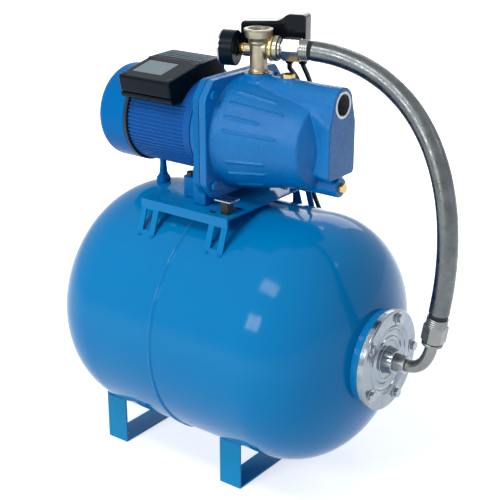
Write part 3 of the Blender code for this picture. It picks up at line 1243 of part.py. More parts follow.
def gauge(frame, pointer_frame):
    """Pressure gauge on the rear branch: case, dial, lens and the pointer that turns."""
    radius = GAUGE_RADIUS
    cavity = GAUGE_CAVITY
    bore = radius - 0.0020
    back = GAUGE_DEPTH - GAUGE_BOSS
    profile = [(0.0, bore), (0.0, radius - 0.0008), (0.0010, radius), (back - 0.0010, radius),
               (back, radius - 0.0010), (back, GAUGE_BRANCH_RADIUS + 0.0035),
               (GAUGE_DEPTH, GAUGE_BRANCH_RADIUS + 0.0015),
               (GAUGE_DEPTH, 0.0), (cavity, 0.0), (cavity, bore)]
    bm = bmesh.new()
    rings = []
    for along, place in profile:
        if place < 1e-6:
            rings.append([bm.verts.new((along, 0.0, 0.0))])
        else:
            rings.append([bm.verts.new((along, y, z)) for y, z in circle(place, 24)])
    skin(bm, rings[:8], closed=False)
    skin(bm, rings[8:] + [rings[0]], closed=False)
    made = piece("gauge_case", bm, slate_black(), frame)
    middle = (GAP + GAUGE_LENS + cavity) / 2.0
    combine(made, "UNION", rod(middle + 0.0005 + GAP, cavity + 0.001, 0.0012, 10))
    piece("gauge_lens", rod(GAP, GAP + GAUGE_LENS, bore - GAP, 24), material("lens", (0.8, 0.85, 0.88), 0.05, 0.0),
          frame)
    needle = [(-0.0050, -0.0010), (0.0, -0.0024), (0.0024, 0.0), (0.0010, 0.0040),
              (0.0003, POINTER_LENGTH), (-0.0003, POINTER_LENGTH), (-0.0010, 0.0040), (-0.0024, 0.0)]
    start = math.radians(-135.0)
    outline = []
    for u, v in needle:
        outline.append((u * math.cos(start) - v * math.sin(start), u * math.sin(start) + v * math.cos(start)))
    piece("gauge_pointer", prism(outline, middle - 0.0005, middle + 0.0005), slate_black(), pointer_frame)


def switch_outline(inset):
    """Outline of the pressure switch from the front as (x, z) from the connector."""
    left = SWITCH_LEFT + inset
    right = SWITCH_RIGHT - inset
    step = SWITCH_STEP
    low = SWITCH_LOW_TOP_Z - inset
    high = SWITCH_HIGH_TOP_Z - inset
    bottom = SWITCH_BOTTOM_Z + inset
    return [(left, bottom), (left, low - 0.006), (left + 0.002, low - 0.002), (left + 0.006, low),
            (step - 0.006, low + SWITCH_TOP_SLOPE), (step + 0.005 + inset, high - 0.002), (step + 0.009, high),
            (right - 0.008, high), (right - 0.002, high - 0.003), (right, high - 0.009), (right, bottom)]


def pressure_switch(frame, plunger_frame, lever_frame):
    """Pressure switch behind the connector: swivel nut, diaphragm, base, cover and mechanism."""
    start = SWITCH_BRANCH_REACH + GAP
    rear = SWITCH_FRONT_Y - GAP
    bore = PLUNGER_RADIUS + GAP
    profile = [(start, bore), (start, SWITCH_BRANCH_RADIUS - 0.001), (start + 0.005, SWITCH_BRANCH_RADIUS - 0.001),
               (start + 0.006, DIAPHRAGM_RADIUS), (rear, DIAPHRAGM_RADIUS), (rear, bore)]
    piece("switch_diaphragm", turned(profile, 16, "Y", (0.0, 0.0, BRANCH_Z)), steel(), frame)

    base_back = SWITCH_FRONT_Y + SWITCH_BASE_SHEET
    hole = circle(PLUNGER_RADIUS + GAP, 10, (0.0, BRANCH_Z))
    base = piece("switch_base", prism(switch_outline(0.0), SWITCH_FRONT_Y, base_back, "Y", holes=[hole]),
                 slate_black(), frame)
    pivot = lever_pivot()
    for side in (-1.0, 1.0):
        low = min(side * 0.0085, side * 0.0105)
        high = max(side * 0.0085, side * 0.0105)
        ear = box(low, high, base_back - 0.001, pivot[1] + 0.003, pivot[2] - 0.003, pivot[2] + 0.003)
        combine(base, "UNION", ear)
    combine(base, "UNION", rod(-0.0090, 0.0090, LEVER_PIN_RADIUS, 8, "X", (0.0, pivot[1], pivot[2])))

    cover = piece("switch_cover", prism(switch_outline(0.0), base_back + GAP, SWITCH_FRONT_Y + SWITCH_DEPTH, "Y"),
                  slate_black(), frame)
    hollow = prism(switch_outline(SWITCH_WALL), base_back - 0.001, SWITCH_FRONT_Y + SWITCH_DEPTH - SWITCH_WALL, "Y")
    combine(cover, "DIFFERENCE", hollow)
    for x in (MOTOR_GLAND, MAINS_GLAND):
        entry = gland(SWITCH_BOTTOM_Z, -1.0, "Z", (x, GLAND_Y, 0.0))
        combine(cover, "UNION", entry)

    stem_end = base_back + 0.0030
    profile = [(start + 0.0010, 0.0), (start + 0.0010, PLUNGER_RADIUS), (stem_end, PLUNGER_RADIUS),
               (stem_end + 0.001, PLUNGER_RADIUS - 0.001), (stem_end + 0.001, 0.0)]
    middle = (start + stem_end) / 2.0
    shifted = [(along - middle, radius) for along, radius in profile]
    plunger_frame.location = (0.0, middle, BRANCH_Z)
    piece("switch_plunger", turned(shifted, 12, "Y"), brass(), plunger_frame)

    lever_frame.location = pivot
    reach = stem_end + 0.001 + LEVER_GAP - pivot[1]
    hub = turned([(-0.0080, LEVER_PIN_RADIUS + GAP), (-0.0080, 0.0034), (0.0080, 0.0034),
                  (0.0080, LEVER_PIN_RADIUS + GAP)], 10, "X")
    lever = piece("switch_lever", hub, copper(), lever_frame)
    arm = box(-0.0060, 0.0060, reach, reach + 0.0014, -LEVER_ARM - 0.004, -0.0022)
    combine(lever, "UNION", arm)


def lever_pivot():
    """Place of the lever's pin as (x, y, z) from the connector."""
    return (0.0, SWITCH_FRONT_Y + SWITCH_BASE_SHEET + 0.0075, BRANCH_Z + LEVER_ARM)


def gland(wall, direction, axis, centre):
    """Cable gland that stands out from a wall: a hexagon and a dome nut."""
    hexagon = circle(GLAND_RADIUS, 6)
    dome = circle(GLAND_RADIUS * 0.86, 6)
    tip = circle(GLAND_RADIUS * 0.62, 6)
    sections = [(wall - direction * 0.001, hexagon), (wall + direction * GLAND_LENGTH * 0.4, hexagon),
                (wall + direction * GLAND_LENGTH * 0.45, dome),
                (wall + direction * GLAND_LENGTH * 0.8, dome), (wall + direction * GLAND_LENGTH, tip)]
    return stacked(sections, axis, centre)


def bezier(start, out, back, end, count):
    """Points along a cubic curve from start to end, led by the two middle points."""
    a, b, c, d = Vector(start), Vector(out), Vector(back), Vector(end)
    points = []
    for i in range(count + 1):
        t = i / count
        s = 1.0 - t
        points.append(a * s ** 3 + b * 3.0 * s * s * t + c * 3.0 * s * t * t + d * t ** 3)
    return points


def tube(name, points, radius, finish, parent, resolution):
    """A round tube along points, with filled ends."""
    curve = bpy.data.curves.new(name, "CURVE")
    curve.dimensions = "3D"
    curve.bevel_depth = radius
    curve.bevel_resolution = resolution
    curve.use_fill_caps = True
    spline = curve.splines.new("POLY")
    spline.points.add(len(points) - 1)
    for place, point in zip(spline.points, points):
        place.co = (*point, 1.0)
    curve.materials.append(finish)
    made = bpy.data.objects.new(name, curve)
    bpy.context.collection.objects.link(made)
    made.parent = parent
    return made


def connector_direction():
    """Direction of the connector's hose port, which is turned about the upright axis."""
    return Vector((math.cos(CONNECTOR_TURN), math.sin(CONNECTOR_TURN), 0.0))


def swept(stations, side):
    """Loft outlines along a flat path with the given normal. Each station is (place, direction, outline)."""
    bm = bmesh.new()
    rings = []
    for place, direction, outline in stations:
        up = direction.cross(side).normalized()
        ring = []
        for u, v in outline:
            ring.append(bm.verts.new(place + side * u + up * v))
        rings.append(ring)
    skin(bm, rings, closed=False)
    bm.faces.new(rings[0])
    bm.faces.new(rings[-1])
    return bm


def ferrule_stations(place, direction):
    """Hose end fitting from its flat face to the hose: ring, groove, hexagon and crimped sleeve."""
    ring = circle(HOSE_RADIUS * 1.04, 12)
    groove = circle(HOSE_RADIUS * 0.84, 12)
    sleeve = circle(HOSE_RADIUS * 1.02, 12)
    corners = circle(FERRULE_HEX_RADIUS, 6)
    hexagon = []
    for corner, following in zip(corners, corners[1:] + corners[:1]):
        hexagon += [corner, ((corner[0] + following[0]) / 2.0, (corner[1] + following[1]) / 2.0)]
    hex_start = FERRULE_RING_LENGTH + 0.0020
    hex_end = hex_start + FERRULE_HEX_LENGTH
    steps = [(0.0, ring), (FERRULE_RING_LENGTH, ring), (FERRULE_RING_LENGTH, groove), (hex_start, groove),
             (hex_start, hexagon), (hex_end, hexagon), (hex_end, sleeve),
             (hex_end + FERRULE_SLEEVE_LENGTH, sleeve)]
    return [(place + direction * along, direction, outline) for along, outline in steps]


def hose_layout():
    """Places and directions that the hose and its fittings share."""
    length = FERRULE_RING_LENGTH + 0.0020 + FERRULE_HEX_LENGTH + FERRULE_SLEEVE_LENGTH
    ahead = connector_direction()
    upper = Vector((TOP_BOSS_X, 0.0, CONNECTOR_Z + BRANCH_Z)) + ahead * (SIDE_PORT_REACH + GAP)
    lean = Vector((math.sin(ELBOW_LEAN), 0.0, math.cos(ELBOW_LEAN)))
    elbow_start = Vector((ELBOW_START_X, 0.0, TANK_Z))
    elbow_end = elbow_start + Vector((ELBOW_RUN, 0.0, ELBOW_RISE))
    top = upper + ahead * (length + GAP)
    bottom = elbow_end + lean * (length + GAP)
    out = top + ahead * HOSE_REACH_OUT + Vector((0.0, 0.0, HOSE_REACH_RISE))
    back = bottom + lean * HOSE_REACH_UP
    run = [top] + bezier(top + ahead * 0.006, out, back, bottom + lean * 0.006, 22) + [bottom]
    return upper, elbow_start, elbow_end, lean, run


def hose_assembly(frame):
    """Steel-braided hose between the connector and the counterflange, with its fittings."""
    upper, elbow_start, elbow_end, lean, run = hose_layout()
    across = Vector((0.0, 1.0, 0.0))
    outward = connector_direction()
    side = Vector((-outward.y, outward.x, 0.0))
    piece("hose_upper_fitting", swept(ferrule_stations(upper, outward), side), steel(), frame)
    ahead = Vector((1.0, 0.0, 0.0))
    bend = bezier(elbow_start, elbow_start + ahead * ELBOW_RUN * 0.62,
                  elbow_end - lean * ELBOW_RISE * 0.55, elbow_end, 8)
    outline = circle(ELBOW_RADIUS, 12)
    path = [(elbow_start, ahead, outline)]
    for before, place, after in zip(bend, bend[1:], bend[2:]):
        path.append((place, (after - before).normalized(), outline))
    path.append((elbow_end, lean, outline))
    fitting = swept(path + ferrule_stations(elbow_end, lean), across)
    piece("hose_elbow_fitting", fitting, steel(), frame)
    tube("braided_hose", run, HOSE_RADIUS, braid(), frame, 3)

    start = ELBOW_START_X - GAP - ELBOW_NUT_LENGTH
    outline = circle(ELBOW_NUT_RADIUS, 6)
    nut = [(start, outline), (start + ELBOW_NUT_LENGTH * 0.85, outline),
           (start + ELBOW_NUT_LENGTH, circle(ELBOW_NUT_RADIUS * 0.85, 6))]
    piece("elbow_nut", stacked(nut, "X", (0.0, 0.0, TANK_Z)), steel(), frame)


def through(places, count):
    """A smooth curve through the given places, with count points between each pair."""
    places = [Vector(place) for place in places]
    padded = [places[0] * 2.0 - places[1]] + places + [places[-1] * 2.0 - places[-2]]
    points = []
    for i in range(1, len(padded) - 2):
        before, start, end, after = padded[i - 1:i + 3]
        for k in range(count):
            t = k / count
            points.append(0.5 * (start * 2.0 + (end - before) * t
                                 + (before * 2.0 - start * 5.0 + end * 4.0 - after) * t * t
                                 + (start * 3.0 - before - end * 3.0 + after) * t ** 3))
    points.append(places[-1])
    return points


def evenly(points, spacing):
    """The same run with its points a regular distance apart."""
    lengths = [0.0]
    for start, end in zip(points, points[1:]):
        lengths.append(lengths[-1] + (end - start).length)
    count = max(2, round(lengths[-1] / spacing))
    result = []
    place = 0
    for i in range(count + 1):
        wanted = lengths[-1] * i / count
        while place < len(points) - 2 and lengths[place + 1] < wanted:
            place += 1
        share = (wanted - lengths[place]) / (lengths[place + 1] - lengths[place])
        result.append(points[place].lerp(points[place + 1], min(share, 1.0)))
    return result


def cable(name, route, frame):
    """A cable along a smooth run, with a straight piece at each end."""
    middle = evenly(through(route[1:-1], 12), CABLE_SPACING)
    points = [Vector(route[0])] + middle + [Vector(route[-1])]
    tube(name, points, CABLE_RADIUS, black_rubber(), frame, 2)


def cords(frame):
    """Cable from switch to motor, and the mains lead with its coil and plug on the floor."""
    tip = GLAND_LENGTH + GAP
    wall_z = CONNECTOR_Z + SWITCH_BOTTOM_Z - tip
    box_z = SHAFT_Z + BOX_GLAND_Z
    outward = connector_direction()

    def below_gland(reach, z):
        x = TOP_BOSS_X + outward.x * reach - outward.y * GLAND_Y
        y = outward.y * reach + outward.x * GLAND_Y
        return (x, y, z)

    motor_route = [below_gland(MOTOR_GLAND, wall_z), below_gland(MOTOR_GLAND, wall_z - 0.006),
                   (0.0715, 0.080, 0.600), (0.063, 0.100, 0.560), (0.0500, 0.113, 0.500), (0.0435, 0.116, 0.430),
                   (0.0320, 0.132, 0.385), (0.0100, 0.152, 0.362), (-0.020, 0.154, 0.367),
                   (-0.045, 0.136, 0.410), (-0.062, 0.118, 0.500), (-0.070, 0.098, 0.570),
                   (-0.072, 0.082, 0.597), (BOX_GLAND_X, BOX_BACK_Y + tip + 0.008, box_z),
                   (BOX_GLAND_X, BOX_BACK_Y + tip, box_z)]
    cable("motor_cable", motor_route, frame)
    floor = CABLE_RADIUS + 0.0002
    flat = (COIL_RADIUS + COIL_BAND) * math.cos(math.pi / COIL_SIDES)
    turn = -4.0 * math.pi / COIL_SIDES

    def by_coil(distance):
        reach = flat + distance
        return (COIL_X + reach * math.cos(turn), COIL_Y + reach * math.sin(turn), floor)

    mains_route = [below_gland(MAINS_GLAND, wall_z), below_gland(MAINS_GLAND, wall_z - 0.006),
                   (0.0925, 0.080, 0.603), (0.0900, 0.098, 0.560), (0.0800, 0.112, 0.500),
                   (0.0740, 0.118, 0.430), (0.0740, 0.142, 0.382), (0.0800, 0.180, 0.310),
                   (0.0820, 0.199, 0.237), (0.080, 0.200, 0.150), (0.074, 0.205, 0.070),
                   (0.062, 0.208, 0.022), (0.042, 0.210, floor + 0.0015), (0.010, 0.212, floor),
                   (-0.025, 0.218, floor), by_coil(0.012), by_coil(GAP)]
    cable("mains_cable", mains_route, frame)
    inner = COIL_RADIUS - COIL_BAND
    outer = COIL_RADIUS + COIL_BAND
    edge = 0.003
    profile = [(0.0004, inner + edge), (0.0004 + edge, inner), (COIL_TURNS_HEIGHT - edge, inner),
               (COIL_TURNS_HEIGHT, inner + edge), (COIL_TURNS_HEIGHT, outer - edge),
               (COIL_TURNS_HEIGHT - edge, outer), (0.0004 + edge, outer), (0.0004, outer - edge)]
    coil = turned(profile, COIL_SIDES, "Z")
    bmesh.ops.rotate(coil, verts=coil.verts, cent=(0.0, 0.0, 0.0),
                     matrix=Matrix.Rotation(math.pi / COIL_SIDES, 3, "Z"))
    bmesh.ops.translate(coil, verts=coil.verts, vec=(COIL_X, COIL_Y, 0.0))
    piece("mains_coil", coil, black_rubber(), frame)
    mains_plug(frame, COIL_X + flat)


def mains_plug(frame, wall):
    """Plug at the end of the lead, leaning on its rim on the floor with its two pins up."""
    profile = [(0.0, 0.0), (0.0, 0.0045), (0.014, 0.0060), (0.018, PLUG_RADIUS * 0.80),
               (0.024, PLUG_RADIUS), (PLUG_LENGTH, PLUG_RADIUS), (PLUG_LENGTH, 0.0)]
    place = empty("plug_axis", frame, (wall + GAP + 0.0045 * math.sin(PLUG_TILT), COIL_Y, PLUG_NECK_Z))
    place.rotation_euler = (0.0, -PLUG_TILT, 0.0)
    made = piece("mains_plug", turned(profile, 16), black_rubber(), place)
    for side in (-1.0, 1.0):
        pin = rod(PLUG_LENGTH - 0.002, PLUG_LENGTH + PIN_LENGTH, PIN_RADIUS, 8, "X",
                  (0.0, side * PIN_SPACING / 2.0, 0.0))
        combine(made, "UNION", pin)


def build():
    remove_everything()
    hose_reach = max(place.x for place in hose_layout()[-1]) + HOSE_RADIUS
    middle = (VALVE_TIP_X + hose_reach) / 2.0
    root = empty("booster_set", None, (-middle, 0.0, 0.0))
    tank = empty("tank_axis", root, (0.0, 0.0, TANK_Z))
    shaft = empty("shaft_axis", root, (0.0, 0.0, SHAFT_Z))
    rotor_axis = empty("rotor_axis", shaft, (0.0, 0.0, 0.0))
    top = empty("connector_frame", root, (TOP_BOSS_X, 0.0, CONNECTOR_Z))
    top.rotation_euler = (0.0, 0.0, CONNECTOR_TURN)
    gauge_x = -GAUGE_BRANCH_REACH - GAUGE_DEPTH
    gauge_axis = empty("gauge_axis", top, (gauge_x, 0.0, BRANCH_Z - GAUGE_DROP))
    pointer_axis = empty("pointer_axis", gauge_axis, (0.0, 0.0, 0.0))
    plunger_axis = empty("plunger_axis", top, (0.0, 0.0, 0.0))
    lever_axis = empty("lever_axis", top, (0.0, 0.0, 0.0))

    tank_shells(tank)
    bladder(tank)
    counterflange(tank)
    tank_feet(tank)
    pump_bracket(tank)
    air_valve(tank)

    pump_body(shaft)
    plugs(shaft)
    motor_adapter(shaft)
    fasteners(shaft)
    buffers(shaft)
    impeller(rotor_axis)
    diffuser(shaft)
    ejector(shaft)
    shaft_seal(shaft, rotor_axis)

    rotor(rotor_axis)
    bearings(shaft)
    stator(shaft)
    motor_housing(shaft)
    end_shield(shaft)
    cooling_fan(rotor_axis)
    fan_cover(shaft)
    motor_foot(shaft)
    terminal_box(shaft)

    connector(top)
    gauge(gauge_axis, pointer_axis)
    pressure_switch(top, plunger_axis, lever_axis)
    hose_assembly(root)
    cords(root)


build()
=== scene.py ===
"""Visual model of the booster pump set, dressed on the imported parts. Metres, +Z up."""
import math

import bmesh
import bpy
from mathutils import Matrix, Vector, noise
from mathutils.geometry import tessellate_polygon


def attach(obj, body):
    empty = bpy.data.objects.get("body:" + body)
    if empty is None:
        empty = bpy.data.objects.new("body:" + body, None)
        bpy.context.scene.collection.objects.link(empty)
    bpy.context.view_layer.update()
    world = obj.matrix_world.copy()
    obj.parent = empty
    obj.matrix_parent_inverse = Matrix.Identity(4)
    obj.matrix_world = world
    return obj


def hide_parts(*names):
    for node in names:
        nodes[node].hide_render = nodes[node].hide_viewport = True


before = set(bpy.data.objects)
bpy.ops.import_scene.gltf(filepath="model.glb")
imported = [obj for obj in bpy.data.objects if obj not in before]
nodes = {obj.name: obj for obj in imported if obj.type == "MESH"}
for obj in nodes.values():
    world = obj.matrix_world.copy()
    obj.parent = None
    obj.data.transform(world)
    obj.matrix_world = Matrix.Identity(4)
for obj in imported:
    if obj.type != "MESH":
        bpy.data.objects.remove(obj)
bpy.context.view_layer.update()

# Datum planes that the sizes below are counted from, seam of the tank at x = 0.
MIDDLE = 0.0580248
TANK_Z = 0.237
SHAFT_Z = 0.536
PLATE_Z = 0.4365
TOP_X = 0.057
TOP_Z = 0.6258
BRANCH_Z = 0.6618
BODY = "set"
TURN = math.radians(18.0)


# Camera, backdrop and light

def aim(thing, place, target):
    thing.location = place
    thing.rotation_mode = "QUATERNION"
    thing.rotation_quaternion = (Vector(target) - Vector(place)).to_track_quat("-Z", "Y")


def camera():
    data = bpy.data.cameras.new("camera")
    data.lens = 83.18
    data.sensor_width = 36.0
    data.clip_end = 100.0
    thing = bpy.data.objects.new("camera", data)
    bpy.context.scene.collection.objects.link(thing)
    place = Vector((0.9770, -1.3166, 0.9822))
    aim(thing, place, place - Vector((0.56227, -0.74517, 0.35858)))
    bpy.context.scene.camera = thing


def lamp(name, place, target, width, height, power, colour=(1.0, 1.0, 1.0), glossy=1.0):
    data = bpy.data.lights.new(name, "AREA")
    data.shape = "RECTANGLE"
    data.size = width
    data.size_y = height
    data.energy = power
    data.color = colour
    data.specular_factor = glossy
    thing = bpy.data.objects.new(name, data)
    bpy.context.scene.collection.objects.link(thing)
    aim(thing, place, target)


def shown_rays(tree):
    """One for camera, glossy and transmission rays, which see the white backdrop."""
    path = tree.nodes.new("ShaderNodeLightPath")
    result = path.outputs["Is Camera Ray"]
    for name in ("Is Glossy Ray", "Is Transmission Ray"):
        either = tree.nodes.new("ShaderNodeMath")
        either.operation = "MAXIMUM"
        tree.links.new(result, either.inputs[0])
        tree.links.new(path.outputs[name], either.inputs[1])
        result = either.outputs[0]
    return result


def studio():
    scene = bpy.context.scene
    scene.view_settings.view_transform = "Standard"
    world = bpy.data.worlds.new("studio")
    scene.world = world
    world.use_nodes = True
    tree = world.node_tree
    tree.nodes.clear()
    plain = tree.nodes.new("ShaderNodeBackground")
    plain.inputs["Strength"].default_value = 0.38
    plain.inputs["Color"].default_value = (0.92, 0.97, 1.0, 1.0)
    white = tree.nodes.new("ShaderNodeBackground")
    mix = tree.nodes.new("ShaderNodeMixShader")
    out = tree.nodes.new("ShaderNodeOutputWorld")
    white.inputs["Color"].default_value = (1.0, 1.0, 1.0, 1.0)
    white.inputs["Strength"].default_value = 1.0
    link = tree.links.new
    link(shown_rays(tree), mix.inputs["Fac"])
    link(plain.outputs[0], mix.inputs[1])
    link(white.outputs[0], mix.inputs[2])
    link(mix.outputs[0], out.inputs["Surface"])

    target = (0.0, 0.0, 0.35)
    for row in (-1.0, 1.0):
        for column in (-1.0, 1.0):
            lamp("key", (-0.35 + 0.25 * column, -2.40, 1.40 + 0.16 * row), target, 0.46, 0.28, 6.0)
    lamp("fill", (2.60, 0.30, 1.20), target, 1.2, 1.6, 4.0, (0.20, 0.32, 1.0), glossy=0.0)
    lamp("high", (-0.15, -1.40, 2.35), target, 1.2, 0.45, 20.0)
    lamp("back", (-0.45, 1.50, 2.25), target, 0.5, 0.4, 3.5)
    lamp("side", (1.72, 0.90, 1.96), target, 0.36, 0.26, 2.0)
    lamp("rear", (-1.00, 2.50, 1.50), target, 1.8, 1.2, 16.0, (0.94, 0.97, 1.0), glossy=0.3)

    bm = bmesh.new()
    half = 16.0
    bm.faces.new([bm.verts.new((x, y, 0.0)) for x, y in rectangle(-half, half, -half, half)])
    mesh = bpy.data.meshes.new("floor")
    bm.to_mesh(mesh)
    bm.free()
    floor = bpy.data.objects.new("floor", mesh)
    floor.location.z = -0.0004
    bpy.context.scene.collection.objects.link(floor)
    mesh.materials.append(pale_floor())


# Materials

def srgb(red, green, blue):
    """Linear colour of an 8-bit screen colour."""
    def linear(value):
        value /= 255.0
        return value / 12.92 if value <= 0.04045 else ((value + 0.055) / 1.055) ** 2.4
    return (linear(red), linear(green), linear(blue), 1.0)


def shaded(colour, factor):
    return tuple(min(channel * factor, 1.0) for channel in colour[:3]) + (1.0,)


class Finish:
    """A material under construction, with the few node patterns that all finishes share."""

    def __init__(self, name, roughness, metallic=0.0, specular=0.5):
        self.material = bpy.data.materials.new(name)
        self.material.use_nodes = True
        self.tree = self.material.node_tree
        self.shader = self.tree.nodes["Principled BSDF"]
        self.shader.inputs["Roughness"].default_value = roughness
        self.shader.inputs["Metallic"].default_value = metallic
        self.shader.inputs["Specular IOR Level"].default_value = specular
        self.coords = self.tree.nodes.new("ShaderNodeTexCoord")
        self.normal = None

    def node(self, kind, **settings):
        made = self.tree.nodes.new(kind)
        for key, value in settings.items():
            setattr(made, key, value)
        return made

    def link(self, start, end):
        self.tree.links.new(start, end)

    def stretched(self, scale):
        mapping = self.node("ShaderNodeMapping")
        mapping.inputs["Scale"].default_value = scale
        self.link(self.coords.outputs["Object"], mapping.inputs["Vector"])
        return mapping.outputs["Vector"]

    def noise(self, scale, detail=3.0, stretch=None, roughness=0.5):
        made = self.node("ShaderNodeTexNoise")
        made.inputs["Scale"].default_value = scale
        made.inputs["Detail"].default_value = detail
        made.inputs["Roughness"].default_value = roughness
        self.link(self.stretched(stretch or (1.0, 1.0, 1.0)), made.inputs["Vector"])
        return made.outputs["Fac"]

    def cells(self, scale):
        made = self.node("ShaderNodeTexVoronoi")
        made.inputs["Scale"].default_value = scale
        self.link(self.stretched((1.0, 1.0, 1.0)), made.inputs["Vector"])
        return made.outputs["Distance"]

    def ramp(self, value, stops):
        made = self.node("ShaderNodeValToRGB")
        elements = made.color_ramp.elements
        elements[0].position, elements[0].color = stops[0]
        elements[1].position, elements[1].color = stops[-1]
        for position, colour in stops[1:-1]:
            elements.new(position).color = colour
        self.link(value, made.inputs["Fac"])
        return made.outputs["Color"]

    def span(self, value, low, high, start=0.3, end=0.7):
        made = self.node("ShaderNodeMapRange")
        for socket, number in (("From Min", start), ("From Max", end), ("To Min", low), ("To Max", high)):
            made.inputs[socket].default_value = number
        self.link(value, made.inputs["Value"])
        return made.outputs["Result"]

    def tone(self, colour, spread, scale, stretch=None):
        """Base colour that drifts a little over the surface."""
        value = self.noise(scale, 4.0, stretch)
        self.link(self.ramp(value, [(0.3, shaded(colour, 1.0 - spread)), (0.7, shaded(colour, 1.0 + spread))]),
                  self.shader.inputs["Base Color"])
        return self

    def uneven(self, low, high, scale, stretch=None):
        """Roughness that varies between two values."""
        value = self.noise(scale, 4.0, stretch)
        self.link(self.span(value, low, high), self.shader.inputs["Roughness"])
        return self

    def bump(self, value, distance, strength=1.0):
        made = self.node("ShaderNodeBump")
        made.inputs["Distance"].default_value = distance
        made.inputs["Strength"].default_value = strength
        self.link(value, made.inputs["Height"])
        if self.normal is not None:
            self.link(self.normal, made.inputs["Normal"])
        self.normal = made.outputs["Normal"]
        self.link(self.normal, self.shader.inputs["Normal"])
        return self


def pale_floor():
    """Matt floor whose lit part is white in the view and in mirrors, and which takes the shadow."""
    made = Finish("pale_floor", 0.9, specular=0.05)
    made.tone((0.90, 0.90, 0.905, 1.0), 0.006, 1.5)
    made.bump(made.noise(40.0, 2.0), 0.0002, 0.2)
    away = made.node("ShaderNodeVectorMath", operation="LENGTH")
    made.link(made.coords.outputs["Object"], away.inputs[0])
    rise = made.span(away.outputs["Value"], 0.60, 1.10, 0.45, 1.3)
    lift = made.node("ShaderNodeMath", operation="MULTIPLY")
    made.link(rise, lift.inputs[1])
    made.link(shown_rays(made.tree), lift.inputs[0])
    made.link(lift.outputs[0], made.shader.inputs["Emission Strength"])
    made.shader.inputs["Emission Color"].default_value = (1.0, 1.0, 1.0, 1.0)
    return made.material


def paint(name, colour, roughness, specular):
    """Gloss paint over sheet metal, with a faint orange peel."""
    made = Finish(name, roughness, specular=specular)
    made.tone(colour, 0.035, 5.0)
    made.uneven(roughness * 0.8, roughness * 1.3, 9.0)
    made.bump(made.noise(260.0, 2.0), 0.00012, 0.5)
    made.bump(made.noise(22.0, 2.0), 0.0006, 0.25)
    return made.material


def cast_paint(name, colour, grain=0.0005, roughness=0.30, specular=0.42):
    """Paint over a sand casting: pebbled, with glints on the grains."""
    made = Finish(name, roughness, specular=specular)
    made.tone(colour, 0.07, 26.0)
    made.uneven(roughness * 0.6, roughness * 2.4, 420.0)
    made.bump(made.cells(620.0), grain * 0.7, 0.5)
    made.bump(made.noise(330.0, 3.0, roughness=0.6), grain, 0.8)
    made.bump(made.noise(60.0, 2.0), 0.0006, 0.30)
    return made.material


def plastic(name, colour, roughness=0.38, grain=0.00012, specular=0.4):
    """Moulded plastic with a fine spark-eroded grain."""
    made = Finish(name, roughness, specular=specular)
    made.tone(colour, 0.10, 18.0)
    made.uneven(roughness * 0.85, roughness * 1.25, 60.0)
    made.bump(made.noise(1500.0, 3.0), grain, 0.6)
    made.bump(made.noise(70.0, 2.0), 0.0003, 0.2)
    return made.material


def metal(name, colour, roughness=0.25, stretch=None, grain=0.00006, spread=0.10, wave=0.0, scale=700.0):
    """Bare or plated metal, with machining or rolling marks along the stretch."""
    made = Finish(name, roughness, metallic=1.0)
    made.tone(colour, spread, 45.0, stretch)
    made.uneven(roughness * 0.6, roughness * 1.5, 120.0, stretch)
    made.bump(made.noise(scale, 3.0, stretch), grain, 0.7)
    if wave:
        made.bump(made.noise(55.0, 3.0), wave, 0.8)
    return made.material


def rubber(name, colour, roughness=0.55):
    made = Finish(name, roughness, specular=0.35)
    made.tone(colour, 0.16, 35.0)
    made.uneven(roughness * 0.8, roughness * 1.2, 80.0)
    made.bump(made.noise(900.0, 3.0), 0.0001, 0.5)
    return made.material


def glass(name):
    made = Finish(name, 0.03, specular=0.5)
    made.shader.inputs["Transmission Weight"].default_value = 1.0
    made.shader.inputs["IOR"].default_value = 1.46
    made.tone((0.93, 0.96, 0.97, 1.0), 0.02, 12.0)
    made.bump(made.noise(30.0, 1.0), 0.00005, 0.3)
    return made.material


TANK_BLUE = paint("tank_paint", srgb(0, 124, 186), 0.10, 0.11)
FOOT_BLUE = paint("foot_paint", srgb(16, 140, 192), 0.26, 0.12)
CAST_BLUE = cast_paint("cast_paint", srgb(0, 112, 182), 0.0007, 0.14, specular=0.20)
SMOOTH_CAST = cast_paint("adapter_paint", srgb(0, 106, 172), 0.00020, specular=0.10)
MOTOR_BLUE = cast_paint("motor_paint", srgb(14, 86, 160), 0.00012, 0.34, 0.14)
COVER_BLUE = paint("cover_paint", srgb(0, 106, 176), 0.28, 0.05)
SLATE = plastic("slate_plastic", srgb(8, 22, 32), 0.28, 0.00004, 0.07)
# Lid louvres: the lid's black plastic coloured light grey-blue, a painted highlight on their top edges
LOUVRE_HIGHLIGHT = plastic("louvre_painted_highlight", srgb(92, 112, 124), 0.25, 0.00002, 0.2)
SLATE_GLOSS = plastic("switch_plastic", srgb(12, 20, 28), 0.14, 0.00001, 0.14)
# Dark paint of bolts and screws, also painted shade in the gap between motor barrel and fan cover
DARK_STEEL_AND_SHADE = plastic("dark_paint_and_painted_shade", srgb(24, 34, 44), 0.42)
ZINC = metal("zinc_plate", (0.27, 0.31, 0.35, 1.0), 0.18, spread=0.12, wave=0.0008)
FASTENER = metal("zinc_fastener", (0.34, 0.37, 0.41, 1.0), 0.25)
BRASS = metal("brass_plug", (0.55, 0.42, 0.18, 1.0), 0.28)
BRONZE = metal("cast_bronze", (0.31, 0.28, 0.205, 1.0), 0.36, grain=0.0003, scale=900.0)
GOLD = metal("turned_brass", (0.44, 0.33, 0.13, 1.0), 0.26)
PALE_BRONZE = metal("turned_bronze", (0.30, 0.285, 0.22, 1.0), 0.30)
STEEL = metal("turned_steel", (0.36, 0.375, 0.39, 1.0), 0.22)
CHROME = metal("crimped_steel", (0.22, 0.23, 0.225, 1.0), 0.26)
STACK = metal("laminated_steel", (0.26, 0.26, 0.28, 1.0), 0.4)
COPPER = metal("copper_alloy", (0.72, 0.36, 0.18, 1.0), 0.25)
RUBBER = rubber("black_rubber", srgb(24, 26, 29))
